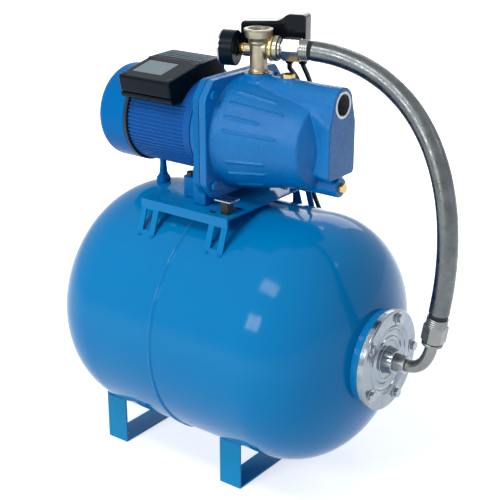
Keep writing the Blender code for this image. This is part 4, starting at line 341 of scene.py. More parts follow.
CABLE = rubber("cable_sheath", srgb(20, 24, 28), 0.42)
GREY_PLASTIC = plastic("grey_plastic", srgb(150, 154, 158), 0.4)
DIAL_WHITE = plastic("dial_face", srgb(236, 238, 238), 0.5)
DIAL_BLACK = plastic("dial_print", srgb(22, 22, 24), 0.6)
PLATE_GREY = metal("bare_plate", (0.185, 0.24, 0.27, 1.0), 0.42, (1.0, 40.0, 1.0), 0.00004)
# Black rubber of the gasket and hose core, also used as painted shade in holes and bores
DARK_RUBBER_AND_SHADE = plastic("black_rubber_and_painted_shade", srgb(16, 20, 26), 0.7)
GLASS = glass("gauge_glass")
BRAID = metal("braid_wire", (0.115, 0.128, 0.132, 1.0), 0.30, grain=0.00004, spread=0.2)


# Mesh helpers

def on_axis(axis, along, u, v):
    return Vector({"X": (along, u, v), "Y": (u, along, v), "Z": (u, v, along)}[axis])


def skin(bm, rings, closed):
    pairs = list(zip(rings, rings[1:]))
    if closed:
        pairs.append((rings[-1], rings[0]))
    for low, high in pairs:
        count = max(len(low), len(high))
        for i in range(count):
            j = (i + 1) % count
            corners = [low[i % len(low)], low[j % len(low)], high[j % len(high)], high[i % len(high)]]
            unique = list(dict.fromkeys(corners))
            if len(unique) > 2:
                bm.faces.new(unique)


def capped(bm, rings):
    """Skin a row of rings and close both ends."""
    skin(bm, rings, closed=False)
    bm.faces.new(rings[0])
    bm.faces.new(rings[-1])
    return bm


def turned(profile, sides=64, axis="X", centre=(0.0, 0.0, 0.0)):
    """Turn a profile of (along, radius) points about an axis."""
    bm = bmesh.new()
    origin = Vector(centre)
    rings = []
    for along, radius in profile:
        if radius < 1e-6:
            rings.append([bm.verts.new(origin + on_axis(axis, along, 0.0, 0.0))])
            continue
        rings.append([bm.verts.new(origin + on_axis(axis, along, u, v)) for u, v in circle(radius, sides)])
    skin(bm, rings, closed=len(rings[0]) > 1 and len(rings[-1]) > 1)
    return bm


def rod(start, end, radius, sides=32, axis="X", centre=(0.0, 0.0, 0.0)):
    return turned([(start, 0.0), (start, radius), (end, radius), (end, 0.0)], sides, axis, centre)


def prism(outline, low, high, axis="X", holes=()):
    """Extrude an outline of (u, v) points along an axis, with holes."""
    bm = bmesh.new()
    loops = [list(outline)] + [list(hole) for hole in holes]
    triangles = tessellate_polygon([[Vector((u, v, 0.0)) for u, v in loop] for loop in loops])
    levels = [[[bm.verts.new(on_axis(axis, along, u, v)) for u, v in loop] for loop in loops]
              for along in (low, high)]
    for level in levels:
        joined = [vertex for loop in level for vertex in loop]
        for triangle in triangles:
            bm.faces.new([joined[i] for i in triangle])
    for lower, upper in zip(*levels):
        for i in range(len(lower)):
            j = (i + 1) % len(lower)
            bm.faces.new([lower[i], lower[j], upper[j], upper[i]])
    return bm


def stacked(sections, axis="X", centre=(0.0, 0.0, 0.0)):
    """Loft closed outlines of equal length. Each section is (along, outline)."""
    bm = bmesh.new()
    origin = Vector(centre)
    rings = [[bm.verts.new(origin + on_axis(axis, along, u, v)) for u, v in outline] for along, outline in sections]
    return capped(bm, rings)


def circle(radius, sides=48, start=0.0):
    angles = [start + 2.0 * math.pi * i / sides for i in range(sides)]
    return [(radius * math.cos(angle), radius * math.sin(angle)) for angle in angles]


def rectangle(u_low, u_high, v_low, v_high):
    return [(u_low, v_low), (u_high, v_low), (u_high, v_high), (u_low, v_high)]


def block(x_low, x_high, y_low, y_high, z_low, z_high):
    return prism(rectangle(y_low, y_high, z_low, z_high), x_low, x_high)


def plain(name, bm, at=Matrix()):
    """A mesh object from a bmesh that was built about a datum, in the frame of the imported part."""
    bmesh.ops.recalc_face_normals(bm, faces=bm.faces)
    bmesh.ops.transform(bm, matrix=Matrix.Translation((-MIDDLE, 0.0, 0.0)) @ at, verts=bm.verts)
    mesh = bpy.data.meshes.new(name)
    bm.to_mesh(mesh)
    bm.free()
    thing = bpy.data.objects.new(name, mesh)
    bpy.context.scene.collection.objects.link(thing)
    return thing


def hang(thing, replaced, body):
    """Ride the piece on its body and what it stands for."""
    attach(thing, body)
    if replaced:
        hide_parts(*([replaced] if isinstance(replaced, str) else replaced))
    return thing


def dress(thing, finish, replaced=(), angle=35.0, bevel=0.0, segments=2, body=BODY):
    """Shade, round the edges, paint and hang a piece on its body."""
    mesh = thing.data
    mesh.materials.clear()
    mesh.materials.append(finish)
    mesh.shade_smooth()
    if bevel:
        made = thing.modifiers.new("edges", "BEVEL")
        made.width = bevel
        made.segments = segments
        made.limit_method = "ANGLE"
        made.angle_limit = math.radians(28.0)
        made.harden_normals = True
        made.use_clamp_overlap = True
    mesh.set_sharp_from_angle(angle=math.radians(angle))
    flat = thing.modifiers.new("flat", "WEIGHTED_NORMAL")
    flat.keep_sharp = True
    return hang(thing, replaced, body)


def piece(name, bm, finish, replaced=(), at=Matrix(), angle=35.0, bevel=0.0, segments=2, body=BODY):
    return dress(plain(name, bm, at), finish, replaced, angle, bevel, segments, body)


def baked(thing):
    """Apply the modifiers of an object."""
    bpy.context.view_layer.update()
    graph = bpy.context.evaluated_depsgraph_get()
    mesh = bpy.data.meshes.new_from_object(thing.evaluated_get(graph))
    old = thing.data
    thing.modifiers.clear()
    thing.data = mesh
    bpy.data.meshes.remove(old)
    return thing


def cut(thing, bm, at=Matrix()):
    """Subtract a closed solid from an object."""
    tool = plain("cutter", bm, at)
    made = thing.modifiers.new("cut", "BOOLEAN")
    made.operation = "DIFFERENCE"
    made.solver = "EXACT"
    made.object = tool
    baked(thing)
    bpy.data.objects.remove(tool, do_unlink=True)
    return thing


def absorb(joined, solid):
    """Add the faces of one bmesh to another."""
    mesh = bpy.data.meshes.new("part")
    solid.to_mesh(mesh)
    solid.free()
    joined.from_mesh(mesh)
    bpy.data.meshes.remove(mesh)


def softened(thing, voxel, rounds):
    """Remesh an object into one skin and soften it."""
    made = thing.modifiers.new("fuse", "REMESH")
    made.mode = "VOXEL"
    made.voxel_size = voxel
    soft = thing.modifiers.new("soften", "SMOOTH")
    soft.factor = 0.5
    soft.iterations = rounds
    return baked(thing)


def cast(name, solids, at, voxel, rounds):
    """Fuse closed solids into one skin with soft inner corners, as a casting has."""
    joined = bmesh.new()
    for solid in solids:
        bmesh.ops.recalc_face_normals(solid, faces=solid.faces)
        absorb(joined, solid)
    return softened(plain(name, joined, at), voxel, rounds)


def refined(node, finish, bevel):
    """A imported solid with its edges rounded."""
    bm = bmesh.new()
    bm.from_mesh(nodes[node].data)
    bmesh.ops.remove_doubles(bm, verts=bm.verts, dist=1e-5)
    bmesh.ops.dissolve_limit(bm, angle_limit=math.radians(0.5), verts=bm.verts, edges=bm.edges)
    bmesh.ops.translate(bm, verts=bm.verts, vec=(MIDDLE, 0.0, 0.0))
    return piece(node + "_skin", bm, finish, node, bevel=bevel)


def hexagon_head(low, high, radius, axis, centre, finish, name, replaced):
    """Hexagon bolt head whose corners are cut back at the top."""
    inner = radius * math.cos(math.pi / 6.0)
    depth = high - low
    corners = circle(radius, 6, start=math.pi / 6.0)
    head = []
    for along, round_off in ((low, 0.0), (high - depth * 0.18, 0.0), (high, 1.0)):
        ring = []
        for i in range(36):
            flat = Vector(corners[i // 6]).lerp(Vector(corners[(i // 6 + 1) % 6]), (i % 6) / 6.0)
            length = min(flat.length, inner * 1.02) if round_off else flat.length
            ring.append(tuple(flat.normalized() * length))
        head.append((along, ring))
    bm = stacked(head, axis, centre)
    return piece(name, bm, finish, replaced, bevel=0.00015, segments=1, angle=25.0)


def tube(name, points, radius, finish, replaced=(), sides=8):
    """A round tube on a curve object."""
    curve = bpy.data.curves.new(name, "CURVE")
    curve.dimensions = "3D"
    curve.bevel_depth = radius
    curve.bevel_resolution = sides // 2
    curve.use_fill_caps = True
    spline = curve.splines.new("POLY")
    spline.points.add(len(points) - 1)
    for place, point in zip(spline.points, points):
        place.co = (point[0] - MIDDLE, point[1], point[2], 1.0)
    spline.use_smooth = True
    curve.materials.append(finish)
    thing = bpy.data.objects.new(name, curve)
    bpy.context.scene.collection.objects.link(thing)
    return hang(thing, replaced, BODY)


def through(places, count):
    """A smooth curve through the places, with count points between each pair."""
    places = [Vector(place) for place in places]
    padded = [places[0] * 2.0 - places[1]] + places + [places[-1] * 2.0 - places[-2]]
    points = []
    for i in range(1, len(padded) - 2):
        before, start, end, after = padded[i - 1:i + 3]
        for k in range(count):
            t = k / count
            points.append(0.5 * (start * 2.0 + (end - before) * t
                                 + (before * 2.0 - start * 5.0 + end * 4.0 - after) * t * t
                                 + (start * 3.0 - before - end * 3.0 + after) * t ** 3))
    points.append(places[-1])
    return points


def bezier(start, out, back, end, count):
    a, b, c, d = Vector(start), Vector(out), Vector(back), Vector(end)
    return [a * (1 - i / count) ** 3 + b * 3.0 * (1 - i / count) ** 2 * (i / count)
            + c * 3.0 * (1 - i / count) * (i / count) ** 2 + d * (i / count) ** 3 for i in range(count + 1)]


def evenly(points, spacing):
    """The same run with its points a regular distance apart."""
    lengths = [0.0]
    for start, end in zip(points, points[1:]):
        lengths.append(lengths[-1] + (end - start).length)
    count = max(2, round(lengths[-1] / spacing))
    result = []
    place = 0
    for i in range(count + 1):
        wanted = lengths[-1] * i / count
        while place < len(points) - 2 and lengths[place + 1] < wanted:
            place += 1
        share = (wanted - lengths[place]) / (lengths[place + 1] - lengths[place])
        result.append(points[place].lerp(points[place + 1], min(share, 1.0)))
    return result


# Cords

CABLE_RADIUS = 0.0037
SWITCH_WALL_Z = 0.6413 - 0.0103
FLOOR_Z = CABLE_RADIUS + 0.0003
COIL = Vector((-0.105, 0.275, 0.0))
COIL_RADIUS = 0.0365
COIL_BAND = 0.0075
COIL_FLAT = (COIL_RADIUS + COIL_BAND) * math.cos(math.pi / 20)


def cable_run(route):
    middle = evenly(through(route[1:-1], 12), 0.0095)
    return [Vector(route[0])] + middle + [Vector(route[-1])]


def below_gland(reach, z):
    """A place under a gland of the switch, which is turned with the connector."""
    return (TOP_X + math.cos(TURN) * reach - math.sin(TURN) * 0.0470,
            math.sin(TURN) * reach + math.cos(TURN) * 0.0470, z)


def cords():
    motor_route = [below_gland(0.0320, SWITCH_WALL_Z), below_gland(0.0320, SWITCH_WALL_Z - 0.006),
                   (0.0715, 0.080, 0.600), (0.063, 0.100, 0.560), (0.0500, 0.113, 0.500), (0.0435, 0.116, 0.430),
                   (0.0320, 0.132, 0.385), (0.0100, 0.152, 0.362), (-0.020, 0.154, 0.367),
                   (-0.045, 0.136, 0.410), (-0.062, 0.118, 0.500), (-0.070, 0.098, 0.570),
                   (-0.072, 0.082, 0.597), (-0.070, 0.046 + 0.0103 + 0.008, 0.604),
                   (-0.070, 0.046 + 0.0103, 0.604)]
    run = cable_run(motor_route)
    motor = tube("motor_lead", run, CABLE_RADIUS, CABLE, "motor_cable")

    turn = -4.0 * math.pi / 20
    edge = COIL_FLAT + 0.012
    start = (COIL.x + edge * math.cos(turn), COIL.y + edge * math.sin(turn), FLOOR_Z)
    mains_route = [below_gland(0.0520, SWITCH_WALL_Z), below_gland(0.0520, SWITCH_WALL_Z - 0.006),
                   (0.0925, 0.080, 0.603), (0.0900, 0.098, 0.560), (0.0800, 0.112, 0.500),
                   (0.0740, 0.118, 0.430), (0.0740, 0.142, 0.382), (0.0800, 0.180, 0.310),
                   (0.0820, 0.199, 0.237), (0.080, 0.200, 0.150), (0.074, 0.205, 0.070),
                   (0.0655, 0.2075, 0.032), (0.0480, 0.2095, 0.0105), (0.0200, 0.2115, FLOOR_Z + 0.0004),
                   (-0.025, 0.218, FLOOR_Z), start]
    run = cable_run(mains_route)[:-1]
    outer = COIL_RADIUS + COIL_BAND - CABLE_RADIUS - 0.0002
    inner = outer - 2.0 * CABLE_RADIUS - 0.0001
    upper = FLOOR_Z + 2.0 * CABLE_RADIUS + 0.0001
    legs = [(outer, FLOOR_Z, 0.0), (outer, FLOOR_Z, 0.75), (inner, FLOOR_Z, 1.0), (inner, FLOOR_Z, 1.75),
            (inner, upper, 2.0), (inner, upper, 2.75), (outer, upper, 3.0), (outer, upper, 3.70)]
    steps = 100
    begin = math.radians(-62.0)
    ring = []
    for i in range(steps + 1):
        turns = 3.70 * i / steps
        for (r0, z0, t0), (r1, z1, t1) in zip(legs, legs[1:]):
            if t0 <= turns <= t1:
                share = (turns - t0) / (t1 - t0)
                share = share * share * (3.0 - 2.0 * share)
                angle = begin - 2.0 * math.pi * turns
                radius = r0 + (r1 - r0) * share
                ring.append(Vector((COIL.x + radius * math.cos(angle), COIL.y + radius * math.sin(angle),
                                    z0 + (z1 - z0) * share)))
                break
    tilt = math.radians(25.0)
    neck = Vector((COIL.x + COIL_FLAT + 0.0003 + 0.0045 * math.sin(tilt), COIL.y, 0.0078))
    heading = (ring[-1] - ring[-2]).normalized()
    tail = bezier(ring[-1], ring[-1] + heading * 0.018, neck - Vector((0.022, 0.0, -0.006)), neck, 8)[1:]
    points = evenly(through(run[::3] + ring[4::4] + tail, 6), 0.0070)
    for point in points:
        point.z = max(point.z, FLOOR_Z)
    mains = tube("mains_lead", points, CABLE_RADIUS, CABLE, ("mains_cable", "mains_coil"))
    return mains, points


# Tank

TANK_RADIUS = 0.190
FRONT_LENGTH = 0.281
REAR_LENGTH = 0.255
KNUCKLE = 0.110
CROWN = 0.278
COLLAR_RADIUS = 0.0713
COLLAR_FACE = FRONT_LENGTH + 0.0070
FLANGE_FACE = 0.2944
TANK_AT = Matrix.Translation((0.0, 0.0, TANK_Z))


def dished(length, direction, end_radius):
    """Outline of a dished tank end as (along, radius)."""
    knuckle_steps = 18
    crown_steps = 16
    turn = math.asin((TANK_RADIUS - KNUCKLE) / (CROWN - KNUCKLE))
    depth = CROWN - (CROWN - KNUCKLE) * math.cos(turn)
    last = math.asin(end_radius / CROWN)
    points = []
    for i in range(knuckle_steps + 1):
        angle = (math.pi / 2.0 - turn) * i / knuckle_steps
        points.append((length - depth + KNUCKLE * math.sin(angle), TANK_RADIUS - KNUCKLE + KNUCKLE * math.cos(angle)))
    for i in range(1, crown_steps + 1):
        angle = turn + (last - turn) * i / crown_steps
        points.append((length - CROWN + CROWN * math.cos(angle), CROWN * math.sin(angle)))
    return [(direction * along, radius) for along, radius in points]


def tank():
    outer = dished(FRONT_LENGTH, 1.0, COLLAR_RADIUS)
    collar = [(outer[-1][0] + 0.0010, COLLAR_RADIUS - 0.0004), (COLLAR_FACE - 0.0012, COLLAR_RADIUS),
              (COLLAR_FACE, COLLAR_RADIUS - 0.0012), (COLLAR_FACE, 0.050)]
    inner = [(COLLAR_FACE - 0.004, 0.050), (0.20, 0.150), (0.10, 0.1875), (0.0, 0.188)]
    bead = []
    for i in range(9):
        share = i / 8.0
        bead.append((-0.0038 + 0.0076 * share, TANK_RADIUS + 0.0003 + 0.0021 * math.sin(math.pi * share)))
    bm = turned([(-0.0038, 0.1885)] + bead + [(0.0046, TANK_RADIUS)] + outer + collar + inner, 200)
    for vertex in bm.verts:
        away = math.hypot(vertex.co.y, vertex.co.z)
        if abs(vertex.co.x) < 0.0037 and away > TANK_RADIUS + 0.0006:
            angle = math.atan2(vertex.co.y, vertex.co.z)
            swell = 1.0 + 0.22 * noise.noise(Vector((angle * 9.0, 0.4, 0.0))) + 0.08 * math.sin(angle * 100.0)
            height = (away - TANK_RADIUS) * swell
            vertex.co.y *= (TANK_RADIUS + height) / away
            vertex.co.z *= (TANK_RADIUS + height) / away
    piece("tank_front_skin", bm, TANK_BLUE, "tank_front_shell", at=TANK_AT, angle=50.0)

    outer = dished(REAR_LENGTH, -1.0, 0.0049)
    profile = [(-0.0012, 0.1876), (-0.0012, TANK_RADIUS - 0.0006), (-0.0022, TANK_RADIUS), (-0.008, TANK_RADIUS)]
    profile += outer + [(-REAR_LENGTH + 0.002, 0.0049), (-0.18, 0.150), (-0.10, 0.186)]
    piece("tank_rear_skin", turned(profile, 200), TANK_BLUE, "tank_rear_shell", at=TANK_AT, angle=50.0)

    seat = -REAR_LENGTH - 0.0003
    valve = [(seat, 0.0), (seat, 0.0091), (seat - 0.0028, 0.0091), (seat - 0.0035, 0.0084), (seat - 0.0035, 0.0048),
             (seat - 0.0046, 0.0048), (seat - 0.0048, 0.0058), (seat - 0.0055, 0.0062), (-0.2699, 0.0062),
             (-0.2712, 0.0052), (-0.2713, 0.0)]
    piece("air_valve_skin", turned(valve, 40), RUBBER, "air_valve", at=TANK_AT, bevel=0.0002)

    for node in ("tank_foot_rear", "tank_foot_front"):
        refined(node, FOOT_BLUE, 0.0007)
    refined("pump_bracket", TANK_BLUE, 0.0006)
    # Slot holes in the bracket plate, drawn as thin dark plates on its top: painted shade of the holes
    for number, (x, y) in enumerate(((0.0422, -0.0905), (0.0640, -0.0573), (0.0422, 0.0905), (0.0640, 0.0573)), 1):
        shape = rounded(rectangle(x - 0.0052, x + 0.0052, y - 0.0024, y + 0.0024), 0.0024, 6)
        piece(f"bracket_slot_shade_{number}", prism(shape, PLATE_Z - 0.0006, PLATE_Z + 0.0001, "Z"), DARK_RUBBER_AND_SHADE)
    welds()


def welds():
    """Short fillets where the feet and the bracket's legs meet the shell."""
    def bead(name, middle_x, half, y, z, radius=0.0019):
        profile = [(middle_x - half, 0.0)]
        for i in range(15):
            edge = min(i, 14 - i) / 2.0
            swell = min(1.0, 0.35 + 0.65 * edge) * (1.0 + 0.12 * math.sin(i * 2.1))
            profile.append((middle_x + half * (i / 7.0 - 1.0), radius * swell))
        profile.append((middle_x + half, 0.0))
        piece(name, turned(profile, 14, "X", (0.0, y, z)), TANK_BLUE, angle=80.0)

    for row, foot_x in enumerate((-0.1535, 0.0820)):
        for side in (-1.0, 1.0):
            y = side * 0.1058
            z = TANK_Z - math.sqrt(TANK_RADIUS ** 2 - y * y) - 0.0006
            bead(f"foot_weld_{row}_{'f' if side < 0 else 'b'}", foot_x, 0.017, y, z)
    reach = 0.1065
    for row, leg_x in enumerate((-0.0645, 0.0645)):
        for side in (-1.0, 1.0):
            for step in range(60):
                drop = step * 0.0008
                y = reach + 0.36 * drop
                z = PLATE_Z - 0.014 - drop
                if math.hypot(y, z - TANK_Z) < TANK_RADIUS + 0.0006:
                    break
            for part, offset in (("a", -0.0118), ("b", 0.0118)):
                bead(f"leg_weld_{row}_{'f' if side < 0 else 'b'}{part}", leg_x + offset, 0.0045,
                     side * (y + 0.0008), z, 0.0016)


def counterflange():
    face = FLANGE_FACE
    back = face - 0.003
    rim = 0.0750

    def curve(points):
        """Round the inner corners of a profile with small arcs."""
        result = [points[0]]
        for before, corner, after in zip(points, points[1:], points[2:]):
            a, b, c = Vector(before), Vector(corner), Vector(after)
            result += corner_arc(a, b, c, min((a - b).length, (c - b).length, 0.0022) * 0.48, 4)
        return result + [points[-1]]

    shown = curve([(face - 0.0095, rim), (face - 0.0012, rim), (face, rim - 0.0030), (face, 0.0535),
                   (face - 0.0028, 0.0490), (face - 0.0055, 0.0420), (face - 0.0055, 0.0365),
                   (face - 0.0030, 0.0345), (face - 0.0030, 0.0300), (face - 0.0055, 0.0275),
                   (face - 0.0055, 0.0205), (face + 0.0035, 0.0188), (face + 0.0110, 0.0175),
                   (face + 0.0110, 0.0120)])
    hidden = [(back - 0.0055, 0.0120), (back - 0.0055, 0.042), (back, 0.0466), (back, 0.0725), (face - 0.0095, 0.0725)]
    made = plain("counterflange_skin", turned(shown + hidden, 144), TANK_AT)
    dress(made, ZINC, "tank_counterflange", angle=40.0)
    for number in range(5):
        angle = 2.0 * math.pi * number / 5
        y, z = 0.0625 * math.cos(angle), 0.0625 * math.sin(angle)
        washer = [(face, 0.0042), (face, 0.0098), (face + 0.0010, 0.0098), (face + 0.0014, 0.0092),
                  (face + 0.0016, 0.0042)]
        piece(f"flange_washer_{number + 1}", turned(washer, 40, "X", (0.0, y, z)), FASTENER, at=TANK_AT)
        hexagon_head(face + 0.0016, face + 0.0062, 0.0075, "X", (0.0, y, TANK_Z + z), FASTENER,
                     f"flange_bolt_head_{number + 1}", f"flange_bolt_{number + 1}")


# Pump

JOINT_X = 0.0215
ADAPTER_X = 0.0212
HOUSING_REAR = -0.1390
HOUSING_FRONT = -0.0170
FIN_TIP = 0.0693
FACE_X = 0.2025
PORT_Z = 0.0629
DRAIN_Z = -0.0565
PRIMING_X = 0.1086
PRIMING_Z = 0.0885
DRUM_FRONT = 0.168
SHAFT_AT = Matrix.Translation((0.0, 0.0, SHAFT_Z))


def flange_outline(grow=0.0):
    y = 0.0935 + grow
    z = 0.0875 + grow
    c = 0.024
    return [(-y, z - c), (-y, -z + c), (-y + 0.8 * c, -z), (y - 0.8 * c, -z),
            (y, -z + c), (y, z - c), (y - 0.8 * c, z), (-y + 0.8 * c, z)]


def corner_arc(before, corner, after, reach, steps):
    """Points of a soft corner that starts and ends at the reach from it."""
    start = corner + (before - corner).normalized() * reach
    end = corner + (after - corner).normalized() * reach
    shares = [k / steps for k in range(steps + 1)]
    return [tuple(start * (1 - t) ** 2 + corner * 2.0 * t * (1 - t) + end * t * t) for t in shares]


def rounded(outline, radius=0.006, steps=5):
    """An outline with its corners rounded."""
    result = []
    count = len(outline)
    for i in range(count):
        before, corner, after = Vector(outline[i - 1]), Vector(outline[i]), Vector(outline[(i + 1) % count])
        reach = min(radius, (before - corner).length * 0.45, (after - corner).length * 0.45)
        result += corner_arc(before, corner, after, reach, steps)
    return result


def drum_radius(x):
    return 0.0875 - 0.0255 * (x - JOINT_X) / (DRUM_FRONT - JOINT_X)


def hood_section(half_width, shoulder_z, bottom_z):
    points = [(half_width - 0.004, bottom_z), (half_width, bottom_z + 0.005), (half_width, shoulder_z)]
    for i in range(25):
        angle = math.pi * i / 24.0
        points.append((0.0245 * math.cos(angle), PORT_Z + 0.0245 * math.sin(angle)))
    points += [(-half_width, shoulder_z), (-half_width, bottom_z + 0.005), (-half_width + 0.004, bottom_z)]
    return points


def ribs():
    bars = []
    flanks = [(58.0, 0.051, 0.118), (43.0, 0.051, 0.138), (28.0, 0.051, 0.108),
              (14.0, 0.051, 0.136), (-18.0, 0.053, 0.118), (-33.0, 0.053, 0.116), (-54.0, 0.053, 0.101)]
    for side in (-1.0, 1.0):
        for degrees, start, end in flanks:
            angle = math.radians(degrees)
            across = Vector((0.0, -side * math.sin(angle), math.cos(angle)))
            outward = Vector((0.0, side * math.cos(angle), math.sin(angle)))
            bm = bmesh.new()
            rings = []
            for x in (start, start + 0.004, end - 0.004, end):
                lift = 0.0 if x in (start, end) else 0.0022
                ring = []
                for k in range(9):
                    turn = math.pi * k / 8.0
                    ring.append(bm.verts.new(Vector((x, 0.0, 0.0)) + across * (0.0023 * math.cos(turn))
                                             + outward * (drum_radius(x) - 0.0006 + (lift + 0.0006) * math.sin(turn))))
                ring.append(bm.verts.new(Vector((x, 0.0, 0.0)) - across * 0.0023 + outward * (drum_radius(x) - 0.004)))
                ring.append(bm.verts.new(Vector((x, 0.0, 0.0)) + across * 0.0023 + outward * (drum_radius(x) - 0.004)))
                rings.append(ring)
            bars.append(capped(bm, rings))
    return bars


def pump_body():
    drum = [(JOINT_X + 0.003, 0.0), (JOINT_X + 0.003, drum_radius(JOINT_X + 0.003)),
            (DRUM_FRONT - 0.0025, drum_radius(DRUM_FRONT) + 0.0003), (DRUM_FRONT, 0.0605), (0.1815, 0.0350),
            (0.1815, 0.0)]
    hood = [(0.045, hood_section(0.0255, 0.055, -0.030)), (DRUM_FRONT, hood_section(0.0305, 0.052, -0.038)),
            (FACE_X - 0.002, hood_section(0.0335, 0.034, -0.0415)), (FACE_X, hood_section(0.0325, 0.034, -0.0405))]
    solids = [turned(drum, 160), prism(rounded(flange_outline()), JOINT_X, JOINT_X + 0.012), stacked(hood),
              rod(0.090, FACE_X - 0.0005, 0.0145, 64, "X", (0.0, 0.0, DRAIN_Z)),
              rod(0.050, 0.0895, 0.0215, 64, "Z", (TOP_X, 0.0, 0.0)),
              rod(0.060, PRIMING_Z, 0.0120, 48, "Z", (PRIMING_X, 0.0, 0.0))] + ribs()
    made = cast("pump_casting", solids, SHAFT_AT, 0.0010, 5)
    cut(made, rod(FACE_X - 0.030, FACE_X + 0.002, 0.0152, 96, "X", (0.0, 0.0, PORT_Z)), SHAFT_AT)
    cut(made, block(JOINT_X - 0.004, JOINT_X + 0.0003, -0.12, 0.12, -0.12, 0.12), SHAFT_AT)
    dress(made, CAST_BLUE, "pump_body", angle=40.0)

    def thread(name, start, direction, axis, centre, root, crest, turns=9):
        """Threaded sleeve in a port, seen as close rings."""
        profile = []
        pitch = 0.0023
        for k in range(turns):
            base = start + direction * (0.0018 + k * pitch)
            profile += [(base, root), (base + direction * pitch * 0.5, crest)]
        profile += [(profile[-1][0] + direction * 0.001, root + 0.0001), (start + direction * 0.001, root + 0.0001)]
        piece(name, turned(profile, 72, axis, centre), PALE_BRONZE if axis == "Z" else DARK_STEEL_AND_SHADE,
              angle=20.0)

    thread("suction_thread", FACE_X, -1.0, "X", (0.0, 0.0, SHAFT_Z + PORT_Z), 0.0151, 0.0139)
    thread("discharge_thread", TOP_Z + 0.0630, -1.0, "Z", (TOP_X, 0.0, 0.0), 0.0151, 0.0140, turns=5)
    # Dark disc at the bottom of the suction bore: painted shade of the deep port
    floor = [(FACE_X - 0.0300, 0.0), (FACE_X - 0.0300, 0.0151), (FACE_X - 0.0285, 0.0151), (FACE_X - 0.0290, 0.010),
             (FACE_X - 0.0290, 0.0)]
    piece("suction_bore_shade", turned(floor, 48, "X", (0.0, 0.0, PORT_Z)), DARK_RUBBER_AND_SHADE, at=SHAFT_AT)
    rim = [(FACE_X + 0.0001, 0.0152), (FACE_X + 0.0006, 0.0158), (FACE_X + 0.0006, 0.0188), (FACE_X + 0.0001, 0.0194),
           (FACE_X - 0.0006, 0.0194), (FACE_X - 0.0006, 0.0152)]
    piece("suction_rim", turned(rim, 96, "X", (0.0, 0.0, PORT_Z)), STEEL, at=SHAFT_AT)


def adapter():
    face = ADAPTER_X
    back = face - 0.011
    tip = FIN_TIP
    front = HOUSING_FRONT
    profile = [(front - 0.005, 0.0), (front - 0.005, 0.0637), (front + 0.0003, 0.0637), (front + 0.0003, tip),
               (front + 0.009, tip + 0.0025), (front + 0.020, tip + 0.0065), (back + 0.001, tip + 0.0120),
               (face - 0.002, tip + 0.0120), (face - 0.002, 0.0)]
    foot = -0.0995 + 0.0003
    web = [(-0.081, foot), (-0.033, foot)]
    for i in range(1, 16):
        angle = math.pi - math.pi * i / 16.0
        web.append((0.033 * math.cos(angle), foot + 0.020 * math.sin(angle)))
    web += [(0.033, foot), (0.081, foot), (0.081, -0.045), (0.070, -0.035), (-0.070, -0.035), (-0.081, -0.045)]
    solids = [turned(profile, 128), prism(rounded(flange_outline()), back, face),
              prism(web, face - 0.0235, face - 0.0005)]
    for side in (-1.0, 1.0):
        outline = [(face - 0.010, side * 0.050 - 0.012), (face - 0.010, side * 0.050 + 0.012)]
        for i in range(0, 17):
            angle = math.pi / 2.0 + math.pi * i / 16.0
            outline.append((-0.030 + 0.012 * math.cos(angle), side * 0.050 + 0.012 * math.sin(angle)))
        solids.append(prism(outline, foot + 0.0001, foot + 0.0300, "Z"))
    made = cast("adapter_casting", solids, SHAFT_AT, 0.0011, 4)
    cut(made, block(-0.2, 0.2, -0.2, 0.2, foot - 0.02, foot + 0.0002), SHAFT_AT)
    dress(made, SMOOTH_CAST, "motor_adapter", angle=40.0)
    seal = prism(rounded(flange_outline(-0.0006)), ADAPTER_X - 0.0002, JOINT_X + 0.0002, holes=[circle(0.080, 64)])
    piece("body_gasket", seal, DARK_RUBBER_AND_SHADE, at=SHAFT_AT)


def fasteners():
    head = JOINT_X + 0.012
    for number, (y, z) in enumerate([(y, z) for y in (-0.0765, 0.0765) for z in (-0.0665, 0.0665)], 1):
        hexagon_head(head + 0.0003, head + 0.0050, 0.0072, "X", (0.0, y, SHAFT_Z + z), CAST_BLUE,
                     f"body_bolt_head_{number}", f"body_bolt_{number}")
    for name in ("foot_bolt_front", "foot_bolt_back"):
        refined(name, DARK_STEEL_AND_SHADE, 0.0004)
    for name, side in (("foot_buffer_front", -1.0), ("foot_buffer_back", 1.0)):
        low, high = sorted((side * 0.0780, side * 0.0930))
        piece(name + "_block", block(0.0585, 0.0715, low, high, PLATE_Z + 0.0003, PLATE_Z + 0.0181), RUBBER,
              name, bevel=0.0008)
        low, high = sorted((side * 0.0700, side * 0.0935))
        piece(name + "_plate", block(0.0480, 0.0760, low, high, PLATE_Z + 0.0181, PLATE_Z + 0.0205), FASTENER,
              bevel=0.0006)
    hexagon_head(PRIMING_Z + 0.0003, PRIMING_Z + 0.0058, 0.0105, "Z", (PRIMING_X, 0.0, SHAFT_Z), BRASS,
                 "priming_plug_head", "priming_plug")
    hexagon_head(FACE_X - 0.0002, FACE_X + 0.0058, 0.0080, "X", (0.0, 0.0, SHAFT_Z + DRAIN_Z), BRASS,
                 "drain_plug_head", "drain_plug")


# Motor

